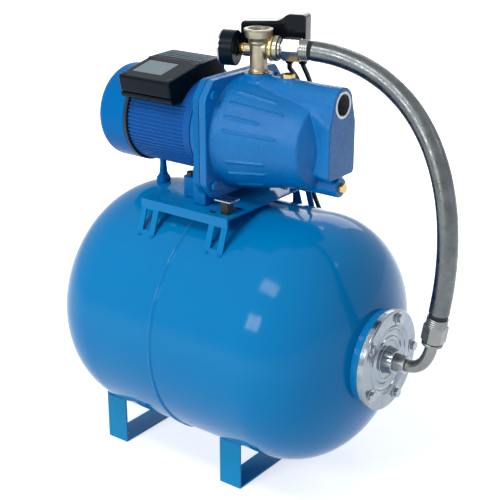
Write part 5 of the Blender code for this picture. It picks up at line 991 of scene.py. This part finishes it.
def barrel():
    """Ribbed barrel: fine fins round the flanks, and a plain band under the terminal box."""
    fins = 72
    height = 0.0022
    outline = []
    for i in range(fins):
        middle = 2.0 * math.pi * i / fins
        half = math.pi / fins
        plain_band = abs(math.degrees(math.remainder(middle - math.pi / 2.0, 2.0 * math.pi))) < 58.0
        for share, depth in ((-0.80, 1.0), (-0.62, 0.9), (-0.44, 0.12), (-0.30, 0.0), (0.30, 0.0), (0.44, 0.12),
                             (0.62, 0.9), (0.80, 1.0)):
            radius = FIN_TIP - (0.0 if plain_band else height * depth)
            outline.append((radius * math.cos(middle + half * share), radius * math.sin(middle + half * share)))
    low = [(u * 0.985, v * 0.985) for u, v in outline]
    plain_ring = []
    for u, v in outline:
        reach = FIN_TIP - 0.0002
        length = math.hypot(u, v)
        plain_ring.append((u * reach / length, v * reach / length))
    sections = [(HOUSING_REAR, low), (HOUSING_REAR + 0.0010, outline), (HOUSING_FRONT - 0.0150, outline),
                (HOUSING_FRONT - 0.0125, plain_ring), (HOUSING_FRONT - 0.0010, plain_ring),
                (HOUSING_FRONT, [(u * 0.985, v * 0.985) for u, v in plain_ring])]
    piece("motor_barrel", stacked(sections), MOTOR_BLUE, "motor_housing", at=SHAFT_AT, angle=45.0)


def motor():
    barrel()
    front = HOUSING_REAR - 0.0003
    radius = 0.0730
    # Dark ring between barrel and fan cover: the end shield's rim, darkened as painted shade of the air gap under the
    # cover's edge
    rim = [(front, 0.0640), (front, radius - 0.0010), (front - 0.0008, radius - 0.0001),
           (front - 0.0044, radius - 0.0001), (front - 0.0052, radius - 0.0010), (front - 0.0052, 0.0640)]
    piece("end_shield_rim_and_gap_shade", turned(rim, 128), DARK_STEEL_AND_SHADE, "motor_end_shield", at=SHAFT_AT, angle=30.0)

    cover = []
    rear = -0.2010
    soft = 0.0150
    for i in range(17):
        angle = math.pi / 2.0 * i / 16.0
        cover.append((rear + soft * (1.0 - math.sin(angle)), radius - soft * (1.0 - math.cos(angle))))
    start = front - 0.0056
    profile = [(start + 0.0002, radius - 0.0012), (start, radius - 0.0008), (start - 0.0004, radius)]
    profile += [(start - 0.020, radius)] + cover + [(rear, 0.0), (rear + 0.0012, 0.0), (rear + 0.0012, 0.0570),
                                                    (rear + soft, radius - 0.0012)]
    bm = bmesh.new()
    rings = []
    for along, place in profile:
        rings.append([bm.verts.new((along, 0.0, 0.0))] if place < 1e-6 else
                     [bm.verts.new((along, y, z)) for y, z in circle(place, 128)])
    pole = next(i for i, ring in enumerate(rings) if len(ring) == 1)
    skin(bm, rings[:pole + 1], closed=False)
    skin(bm, rings[pole + 1:] + [rings[0]], closed=False)
    made = plain("fan_cover_skin", bm, SHAFT_AT)
    slots = bmesh.new()
    for k in range(12):
        shape = prism(rounded(rectangle(0.022, 0.056, -0.0022, 0.0022), 0.0020, 4), rear - 0.002, rear + 0.0032)
        bmesh.ops.rotate(shape, verts=shape.verts, cent=(0.0, 0.0, 0.0),
                         matrix=Matrix.Rotation(2.0 * math.pi * k / 12, 3, "X"))
        absorb(slots, shape)
    cut(made, slots, SHAFT_AT)
    dress(made, COVER_BLUE, "fan_cover", angle=35.0)

    bm = bmesh.new()
    bm.from_mesh(nodes["motor_foot"].data)
    bmesh.ops.remove_doubles(bm, verts=bm.verts, dist=1e-5)
    bmesh.ops.translate(bm, verts=bm.verts, vec=(MIDDLE, 0.0, 0.0))
    dress(softened(plain("motor_support", bm), 0.0008, 12), COVER_BLUE, "motor_foot", angle=60.0)
    terminal_box()


# Terminal box

BOX_REAR = -0.1387
BOX_FRONT = -0.0400
LID_LOW = 0.0503
LID_SECTION = [(-0.0815, LID_LOW), (-0.0866, 0.0755), (-0.011, 0.0925), (0.039, 0.0940), (0.046, 0.0895),
               (0.046, LID_LOW)]


def slope_z(y):
    return 0.0755 + (y + 0.0866) / 0.0756 * 0.0170


def terminal_box():
    tip = FIN_TIP + 0.0003
    section = rounded(LID_SECTION, 0.0045, 6)
    length = BOX_FRONT - BOX_REAR
    sections = []
    for along, inset in ((0.0, 0.0030), (0.0006, 0.0014), (0.0018, 0.0004), (0.0034, 0.0), (length - 0.0034, 0.0),
                         (length - 0.0018, 0.0004), (length - 0.0006, 0.0014), (length, 0.0030)):
        middle_y, middle_z = -0.018, 0.066
        ring = []
        for y, z in section:
            reach = math.hypot(y - middle_y, z - middle_z)
            share = 1.0 - inset / reach
            ring.append((middle_y + (y - middle_y) * share, max(LID_LOW, middle_z + (z - middle_z) * share)))
        sections.append((BOX_REAR + along, ring))
    made = plain("terminal_lid_skin", stacked(sections), SHAFT_AT)
    cut(made, rod(BOX_REAR - 0.01, BOX_FRONT + 0.01, tip, 128), SHAFT_AT)
    y_low, y_high = -0.0670, -0.0245
    pocket = [(y_low, slope_z(y_low) - 0.0008), (y_high, slope_z(y_high) - 0.0008), (y_high, 0.10), (y_low, 0.10)]
    cut(made, prism(pocket, -0.1290, -0.0706), SHAFT_AT)
    dress(made, SLATE, "terminal_box_lid", angle=30.0)

    inside = 0.0010
    plate = [(y_low + inside, slope_z(y_low + inside) - 0.0009), (y_high - inside, slope_z(y_high - inside) - 0.0009),
             (y_high - inside, slope_z(y_high - inside) - 0.0002), (y_low + inside, slope_z(y_low + inside) - 0.0002)]
    piece("name_plate_blank", prism(plate, -0.1280, -0.0716), PLATE_GREY, at=SHAFT_AT, bevel=0.0002)
    # Louvre ridges on the lid, coloured lighter than the lid: painted highlight where their tops catch the light
    for k in range(5):
        y = -0.004 + 0.0088 * k
        bar = bmesh.new()
        rings = []
        for x, lift in ((BOX_REAR + 0.0045, 0.0), (BOX_REAR + 0.0085, 1.0), (BOX_FRONT - 0.0085, 1.0),
                        (BOX_FRONT - 0.0045, 0.0)):
            ring = []
            for i in range(9):
                turn = math.pi * i / 8.0
                ring.append(bar.verts.new((x, y + 0.0012 * math.cos(turn), 0.0934 + 0.0008 * lift * math.sin(turn))))
            ring.append(bar.verts.new((x, y - 0.0012, 0.0905)))
            ring.append(bar.verts.new((x, y + 0.0012, 0.0905)))
            rings.append(ring)
        piece(f"lid_louvre_{k + 1}", capped(bar, rings), LOUVRE_HIGHLIGHT, at=SHAFT_AT, angle=40.0)
    tilt = math.atan2(0.0170, 0.0756)
    screws = ((-0.1335, -0.0175), (-0.0460, -0.0175), (-0.0465, -0.0770), (-0.1335, -0.0770))
    for number, (x, y) in enumerate(screws, 1):
        lid_screw(number, x, y, tilt)

    tray = rounded([(-0.0790, 0.0413), (-0.0815, 0.0500), (0.046, 0.0500), (0.045, 0.0413)], 0.0040, 4)
    base = plain("terminal_base_skin", prism(tray, BOX_REAR + 0.0004, BOX_FRONT - 0.0004), SHAFT_AT)
    cut(base, rod(BOX_REAR - 0.01, BOX_FRONT + 0.01, tip, 128), SHAFT_AT)
    dress(base, SLATE, "terminal_box_base", angle=30.0, bevel=0.0005)
    gland("box_gland", 0.046, 1.0, "Y", (-0.070, 0.0, SHAFT_Z + 0.0680))


def lid_screw(number, x, y, tilt):
    """Cross-head screw sunk into the sloping lid."""
    seat = [(0.0, 0.0), (0.0, 0.0041), (0.0006, 0.0041), (0.0010, 0.0037), (0.0010, 0.0)]
    bm = turned(seat, 28, "Z")
    made = plain(f"lid_screw_{number}", bm)
    for turn in (0.0, math.pi / 2.0):
        cut(made, block(-0.0026, 0.0026, -0.0004, 0.0004, 0.0004, 0.0020), Matrix.Rotation(turn, 4, "Z"))
    made.data.transform(Matrix.Translation((x - MIDDLE, y, SHAFT_Z + slope_z(y) - 0.0002))
                        @ Matrix.Rotation(tilt, 4, "X") @ Matrix.Translation((MIDDLE, 0.0, 0.0)))
    dress(made, DARK_STEEL_AND_SHADE, angle=30.0)


def gland(name, wall, direction, axis, centre, at=Matrix()):
    """Cable gland: hexagon against the wall and dome nut with grooves."""
    six = circle(0.0075, 6)
    hexagon = [(wall - direction * 0.0006, six), (wall + direction * 0.0040, six)]
    piece(name + "_hexagon", stacked(hexagon, axis, centre), SLATE, at=at, bevel=0.0004)
    nut = []
    for share, radius in ((0.38, 0.0060), (0.42, 0.0066), (0.74, 0.0064), (0.90, 0.0056), (0.98, 0.0046)):
        ring = []
        for i in range(48):
            groove = 1.0 - (0.045 if i % 4 == 0 and 0.4 < share < 0.8 else 0.0)
            angle = 2.0 * math.pi * i / 48
            ring.append((radius * groove * math.cos(angle), radius * groove * math.sin(angle)))
        nut.append((wall + direction * 0.0102 * share, ring))
    piece(name + "_nut", stacked(nut, axis, centre), SLATE_GLOSS, at=at, angle=50.0)


# Connector, gauge and switch

CONNECTOR_AT = Matrix.Translation((TOP_X, 0.0, TOP_Z)) @ Matrix.Rotation(TURN, 4, "Z")


def connector():
    neck = 0.048
    radius = 0.0127
    column = [(-0.012, 0.0), (-0.012, 0.0125), (0.0, 0.0125), (0.0, radius + 0.0014), (0.0034, radius + 0.0014),
              (0.0050, radius + 0.0002), (0.0070, radius), (neck - 0.0072, radius), (neck - 0.0064, radius + 0.0016),
              (neck - 0.0054, radius + 0.0024), (neck - 0.0036, radius + 0.0024), (neck - 0.0030, radius + 0.0010),
              (neck - 0.0022, radius + 0.0010), (neck - 0.0016, radius + 0.0026), (neck - 0.0002, radius + 0.0030),
              (neck + 0.0012, 0.0178), (neck + 0.0026, 0.0190), (0.0612, 0.0210), (0.0612, 0.0)]
    branch = 0.0360
    side = [(0.0, 0.0), (0.0, 0.0112), (radius + 0.0008, 0.0115), (radius + 0.0035, 0.0158), (0.0215, 0.0166),
            (0.0215, 0.0)]
    solids = [turned(column, 96, "Z"), turned(side, 96, "X", (0.0, 0.0, branch)),
              rod(-0.0200, 0.0, 0.0074, 48, "X", (0.0, 0.0, branch - 0.003)),
              rod(0.0, 0.0170, 0.0088, 48, "Y", (0.0, 0.0, branch))]
    made = cast("connector_casting", solids, CONNECTOR_AT, 0.0006, 3)
    cut(made, rod(neck + 0.0010, 0.0700, 0.0151, 96, "Z"), CONNECTOR_AT)
    dress(made, BRONZE, "five_way_connector", angle=50.0)
    rim = [(0.0606, 0.0152), (0.0624, 0.0152), (0.0630, 0.0158), (0.0630, 0.0204), (0.0625, 0.0211),
           (0.0612, 0.0212), (0.0606, 0.0208)]
    ring = [(0.0, 0.0127), (0.0, 0.0148), (0.0004, 0.0152), (0.0022, 0.0152), (0.0028, 0.0146), (0.0028, 0.0127)]
    cone = [(0.0175, 0.0100), (0.0175, 0.0164), (0.0182, 0.0176), (0.0192, 0.0183), (0.0224, 0.0185),
            (0.0232, 0.0176), (0.0232, 0.0100)]
    flat = [(0.0230, 0.0100), (0.0230, 0.0162), (0.0240, 0.0164), (0.0246, 0.0176), (0.0256, 0.0180),
            (0.0300, 0.0180), (0.0310, 0.0172), (0.0310, 0.0100)]
    stem = [(-0.0287, 0.0), (-0.0287, 0.0068), (-0.0272, 0.0076), (-0.0210, 0.0082), (-0.0196, 0.0074),
            (-0.0185, 0.0074), (-0.0185, 0.0)]
    for name, profile, sides, axis, height, finish, slot in (
            ("top_port_rim", rim, 96, "Z", 0.0, PALE_BRONZE, "nickel_bronze"),
            ("base_ring", ring, 96, "Z", 0.0, GOLD, "brass"),
            ("side_port_collar", cone, 96, "X", branch, GOLD, "nickel_bronze"),
            ("side_port_ring", flat, 96, "X", branch, PALE_BRONZE, "nickel_bronze"),
            ("gauge_stem", stem, 64, "X", branch - 0.003, GOLD, "brass")):
        piece(name, turned(profile, sides, axis, (0.0, 0.0, height)), finish, at=CONNECTOR_AT, angle=30.0)


GAUGE_AT = CONNECTOR_AT @ Matrix.Translation((-0.0550, 0.0, 0.0330))


def gauge():
    radius = 0.0255
    bore = 0.0235
    profile = [(0.0005, bore), (0.0, bore + 0.0003), (0.0, radius - 0.0010), (0.0003, radius - 0.0003),
               (0.0010, radius), (0.0036, radius), (0.0040, radius - 0.0004), (0.0044, radius),
               (0.0215, radius), (0.0224, radius - 0.0004), (0.0229, radius - 0.0012), (0.0230, radius - 0.0022),
               (0.0228, radius - 0.0030), (0.0228, 0.0125), (0.0232, 0.0116), (0.0254, 0.0100), (0.0260, 0.0090),
               (0.0260, 0.0)]
    bm = bmesh.new()
    rings = []
    for along, place in profile + [(0.0052, 0.0), (0.0052, bore)]:
        rings.append([bm.verts.new((along, 0.0, 0.0))] if place < 1e-6 else
                     [bm.verts.new((along, y, z)) for y, z in circle(place, 96)])
    skin(bm, rings[:len(profile)], closed=False)
    skin(bm, rings[len(profile):] + [rings[0]], closed=False)
    piece("gauge_case_skin", bm, SLATE, "gauge_case", at=GAUGE_AT, angle=30.0)
    rim = [(-0.00005, bore + 0.0002), (-0.0003, bore + 0.0008), (-0.0003, radius - 0.0009), (0.0004, radius + 0.0001),
           (0.0026, radius + 0.0002), (0.0026, radius - 0.0004), (0.0010, bore + 0.0002)]
    piece("gauge_bezel", turned(rim, 96), STEEL, at=GAUGE_AT, angle=30.0)
    face = [(0.0046, 0.0), (0.0046, bore - 0.0002), (0.0051, bore - 0.0002), (0.0051, 0.0)]
    piece("gauge_dial", turned(face, 72), DIAL_WHITE, at=GAUGE_AT, angle=30.0)
    lens = [(0.0003, 0.0), (0.0003, bore - 0.0004), (0.0015, bore - 0.0004), (0.0015, 0.0)]
    piece("gauge_window", turned(lens, 72), GLASS, "gauge_lens", at=GAUGE_AT, angle=30.0)
    dial_marks()
    needle = nodes["gauge_pointer"]
    needle.data.materials.clear()
    needle.data.materials.append(DIAL_BLACK)
    hub = [(0.0017, 0.0), (0.0018, 0.0020), (0.0022, 0.0024), (0.0040, 0.0024), (0.0040, 0.0)]
    piece("needle_hub", turned(hub, 32), BRASS, at=GAUGE_AT, angle=30.0, body="needle")


def dial_marks():
    """Scale from 0 to 10 over 270 degrees, read from the rear of the set."""
    plane = 0.0046
    marks = bmesh.new()

    def at_angle(value, radius):
        """Place on the dial: zero at the reader's lower left, rising clockwise for the reader."""
        turn = math.radians(-135.0 + 27.0 * value)
        return -radius * math.sin(turn), radius * math.cos(turn)

    for step in range(51):
        value = step / 5.0
        long = step % 5 == 0
        inner = 0.0186 if long else 0.0198
        half = 0.00028 if long else 0.00014
        (y0, z0), (y1, z1) = at_angle(value, inner), at_angle(value, 0.0214)
        along = Vector((0.0, y1 - y0, z1 - z0)).normalized()
        across = Vector((0.0, -along.z, along.y)) * half
        ring = [Vector((0.0, y0, z0)) - across, Vector((0.0, y0, z0)) + across,
                Vector((0.0, y1, z1)) + across, Vector((0.0, y1, z1)) - across]
        low = [marks.verts.new(p + Vector((plane - 0.00012, 0.0, 0.0))) for p in ring]
        high = [marks.verts.new(p + Vector((plane + 0.0002, 0.0, 0.0))) for p in ring]
        capped(marks, [low, high])
    piece("dial_scale", marks, DIAL_BLACK, at=GAUGE_AT, angle=30.0)
    for value in range(0, 11, 2):
        y, z = at_angle(value, 0.0152)
        data = bpy.data.curves.new(f"dial_number_{value}", "FONT")
        data.body = str(value)
        data.size = 0.0056
        data.align_x = "CENTER"
        data.align_y = "CENTER"
        data.extrude = 0.00012
        thing = bpy.data.objects.new(f"dial_number_{value}", data)
        bpy.context.scene.collection.objects.link(thing)
        thing.matrix_world = (Matrix.Translation((-MIDDLE, 0.0, 0.0)) @ GAUGE_AT
                              @ Matrix.Translation((plane - 0.0001, y, z))
                              @ Matrix.Rotation(-math.pi / 2.0, 4, "Z") @ Matrix.Rotation(math.pi / 2.0, 4, "X"))
        data.materials.append(DIAL_BLACK)
        hang(thing, (), BODY)


def switch_outline(inset=0.0):
    """Outline of the switch seen along its depth, as (across, up) from the connector."""
    left = -0.0375 + inset
    right = 0.0605 - inset
    step = 0.0265
    low = 0.0665 - inset
    high = 0.0800 - inset
    bottom = 0.0155 + inset
    return [(left, bottom), (left, low), (step - 0.004, low + 0.0034), (step + 0.006, high), (right, high),
            (right, bottom)]


def switch():
    front = 0.0300
    back = 0.0620
    sections = []
    for along, inset in ((front + 0.0033, 0.0), (back - 0.0050, 0.0), (back - 0.0025, 0.0008), (back - 0.0008, 0.0024),
                         (back, 0.0050)):
        sections.append((along, rounded(switch_outline(inset), 0.0065, 6)))
    made = plain("switch_cover_skin", stacked(sections, "Y"), CONNECTOR_AT)
    hollow = [(front + 0.0020, rounded(switch_outline(0.0022), 0.005, 6)),
              (back - 0.0026, rounded(switch_outline(0.0030), 0.005, 6))]
    cut(made, stacked(hollow, "Y"), CONNECTOR_AT)
    dress(made, SLATE_GLOSS, "switch_cover", angle=40.0)
    edge = [(front - 0.0002, rounded(switch_outline(0.0012), 0.0060, 6)),
            (front + 0.0006, rounded(switch_outline(0.0), 0.0065, 6)),
            (front + 0.0030, rounded(switch_outline(0.0), 0.0065, 6))]
    base = plain("switch_base_skin", stacked(edge, "Y"), CONNECTOR_AT)
    cut(base, rod(front - 0.01, front + 0.01, 0.0033, 24, "Y", (0.0, 0.0, 0.036)), CONNECTOR_AT)
    dress(base, SLATE_GLOSS, "switch_base", angle=40.0)
    for name, across in (("motor_entry", 0.0320), ("mains_entry", 0.0520)):
        gland(name, 0.0155, -1.0, "Z", (across, 0.0470, 0.0), CONNECTOR_AT)
    profile = [(0.0183, 0.0), (0.0183, 0.0080), (0.0233, 0.0080), (0.0238, 0.0150), (0.0244, 0.0170), (0.0262, 0.0170),
               (0.0266, 0.0162), (0.0276, 0.0162), (0.0280, 0.0170), (0.0297, 0.0168), (0.0297, 0.0)]
    piece("diaphragm_skin", turned(profile, 72, "Y", (0.0, 0.0, 0.036)), ZINC, "switch_diaphragm",
          at=CONNECTOR_AT, angle=30.0)
    nut = stacked([(0.0176, circle(0.0112, 6)), (0.0232, circle(0.0112, 6))], "Y", (0.0, 0.0, 0.036))
    piece("swivel_nut_skin", nut, BRASS, at=CONNECTOR_AT, bevel=0.0005)


# Hose

HOSE_RADIUS = 0.0147
NUT_HEIGHT = 0.0165
ELBOW_REACH = 0.0373
ELBOW_RISE = 0.0445


def hose_layout(count):
    length = 0.0040 + 0.0020 + 0.0260 + 0.0115
    gap = 0.0003
    ahead = Vector((math.cos(TURN), math.sin(TURN), 0.0))
    upper = Vector((TOP_X, 0.0, BRANCH_Z)) + ahead * (0.0310 + gap)
    tilt = math.radians(8.8)
    lean = Vector((math.sin(tilt), 0.0, math.cos(tilt)))
    elbow_start = Vector((FLANGE_FACE + 0.0110 + NUT_HEIGHT + 2.0 * gap, 0.0, TANK_Z))
    elbow_end = elbow_start + Vector((ELBOW_REACH, 0.0, ELBOW_RISE))
    top = upper + ahead * (length + gap)
    bottom = elbow_end + lean * (length + gap)
    out = top + ahead * 0.1488 + Vector((0.0, 0.0, -0.0107))
    back = bottom + lean * 0.2265
    run = [top] + bezier(top + ahead * 0.006, out, back, bottom + lean * 0.006, count) + [bottom]
    return upper, elbow_start, elbow_end, lean, run


def swept(stations, side):
    """Loft outlines along a flat path with the given normal."""
    bm = bmesh.new()
    rings = []
    for place, direction, outline in stations:
        up = direction.cross(side).normalized()
        rings.append([bm.verts.new(place + side * u + up * v) for u, v in outline])
    return capped(bm, rings)


def ferrule(place, direction, side, name, replaced):
    """Hose end: flat ring, groove, hexagon and a crimped sleeve with grooves."""
    corners = circle(0.0178, 6)
    hexagon = []
    for corner, following in zip(corners, corners[1:] + corners[:1]):
        for i in range(8):
            hexagon.append((corner[0] + (following[0] - corner[0]) * i / 8.0,
                            corner[1] + (following[1] - corner[1]) * i / 8.0))

    def trimmed(radius):
        result = []
        for u, v in hexagon:
            reach = math.hypot(u, v)
            share = min(1.0, radius / reach)
            result.append((u * share, v * share))
        return result

    steps = [(0.0, circle(0.0146)), (0.0006, circle(0.0153)),
             (0.0034, circle(0.0153)), (0.0040, circle(0.0147)),
             (0.0042, circle(0.0128)), (0.0060, circle(0.0128)), (0.0062, trimmed(0.0158)), (0.0074, trimmed(0.0176)),
             (0.0080, hexagon), (0.0302, hexagon), (0.0310, trimmed(0.0172)), (0.0320, trimmed(0.0158)),
             (0.0324, circle(0.0152))]
    for k in range(3):
        base = 0.0332 + k * 0.0034
        steps += [(base, circle(0.0152)), (base + 0.0005, circle(0.0147)),
                  (base + 0.0012, circle(0.0147)), (base + 0.0017, circle(0.0152))]
    steps += [(0.0430, circle(0.0152)), (0.0435, circle(0.0147))]
    stations = [(place + direction * along, direction, outline) for along, outline in steps]
    return piece(name, swept(stations, side), CHROME, replaced, angle=32.0)


def hose():
    upper, elbow_start, elbow_end, lean, run = hose_layout(22)
    ahead = Vector((1.0, 0.0, 0.0))
    across = Vector((0.0, 1.0, 0.0))
    outward = Vector((math.cos(TURN), math.sin(TURN), 0.0))
    ferrule(upper, outward, Vector((-outward.y, outward.x, 0.0)), "upper_ferrule", "hose_upper_fitting")
    ferrule(elbow_end, lean, across, "lower_ferrule", "hose_elbow_fitting")
    bend = bezier(elbow_start, elbow_start + ahead * ELBOW_REACH * 0.62, elbow_end - lean * ELBOW_RISE * 0.55,
                  elbow_end, 32)
    stations = [(elbow_start, ahead, circle(0.0090, 48))]
    for before, place, after in zip(bend, bend[1:], bend[2:]):
        stations.append((place, (after - before).normalized(), circle(0.0090, 48)))
    stations.append((elbow_end, lean, circle(0.0090, 48)))
    piece("elbow_pipe", swept(stations, across), CHROME, angle=50.0)
    start = elbow_start.x - 0.0003 - NUT_HEIGHT
    hexagon_head(start, start + NUT_HEIGHT, 0.0150, "X", (0.0, 0.0, TANK_Z), STEEL,
                 "elbow_nut_head", "elbow_nut")

    core = tube("hose_core", run, HOSE_RADIUS - 0.0010, DARK_RUBBER_AND_SHADE, sides=12)
    braid(evenly(through(run[1:-1], 8), 0.0012))
    return core, run


def braid(line):
    """Steel braid: fine flat bands of wire that cross over two and under two."""
    carriers = 32
    angle = math.radians(52.0)
    lengths = [0.0]
    for start, end in zip(line, line[1:]):
        lengths.append(lengths[-1] + (end - start).length)
    total = lengths[-1]
    radius = HOSE_RADIUS - 0.00022
    twist = math.tan(angle) / radius
    band = 2.0 * math.pi / carriers * 0.97
    count = int(total / 0.0014)
    frames = []
    side = (line[1] - line[0]).normalized().cross(Vector((0.0, 0.0, 1.0))).normalized()
    for i in range(count + 1):
        share = i / count * (len(line) - 1)
        index = min(int(share), len(line) - 2)
        place = line[index].lerp(line[index + 1], share - index)
        direction = (line[min(index + 2, len(line) - 1)] - line[max(index - 1, 0)]).normalized()
        side = (side - direction * side.dot(direction)).normalized()
        frames.append((place, side.copy(), direction.cross(side)))
    bm = bmesh.new()
    for way in (-1.0, 1.0):
        for k in range(carriers):
            previous = None
            for i in range(count + 1):
                distance = total * i / count
                place, side, up = frames[i]
                turn = 2.0 * math.pi * k / carriers + way * twist * distance
                phase = distance * twist * carriers / 2.0 + k * math.pi / 2.0 * way
                lift = 0.00005 * math.sin(phase) * way
                verts = []
                for share, drop in ((-0.5, 0.00006), (-0.25, 0.0), (0.25, 0.0), (0.5, 0.00006)):
                    here = turn + share * band
                    reach = radius + lift - drop
                    verts.append(bm.verts.new(place + side * (reach * math.cos(here)) + up * (reach * math.sin(here))))
                if previous:
                    for a, b, c, d in zip(previous, previous[1:], verts[1:], verts):
                        bm.faces.new([a, b, c, d])
                previous = verts
    piece("hose_braid", bm, BRAID, "braided_hose", angle=80.0)


camera()
studio()
mains_lead, mains_points = cords()
tank()
counterflange()
pump_body()
adapter()
fasteners()
motor()
connector()
gauge()
switch()
hose_core, hose_run = hose()

inner = {
    "impeller": GREY_PLASTIC, "diffuser": GREY_PLASTIC, "ejector_nozzle": BRASS, "shaft_seal_seat": DIAL_WHITE,
    "shaft_seal_head": STEEL, "rotor_shaft": STEEL, "rotor_core": STACK, "front_bearing": STEEL,
    "rear_bearing": STEEL, "wound_stator": COPPER, "cooling_fan": SLATE, "run_capacitor": GREY_PLASTIC,
    "tank_bladder": RUBBER, "switch_plunger": BRASS, "switch_lever": COPPER, "mains_plug": RUBBER,
}
for name, finish in inner.items():
    nodes[name].data.materials.clear()
    nodes[name].data.materials.append(finish)
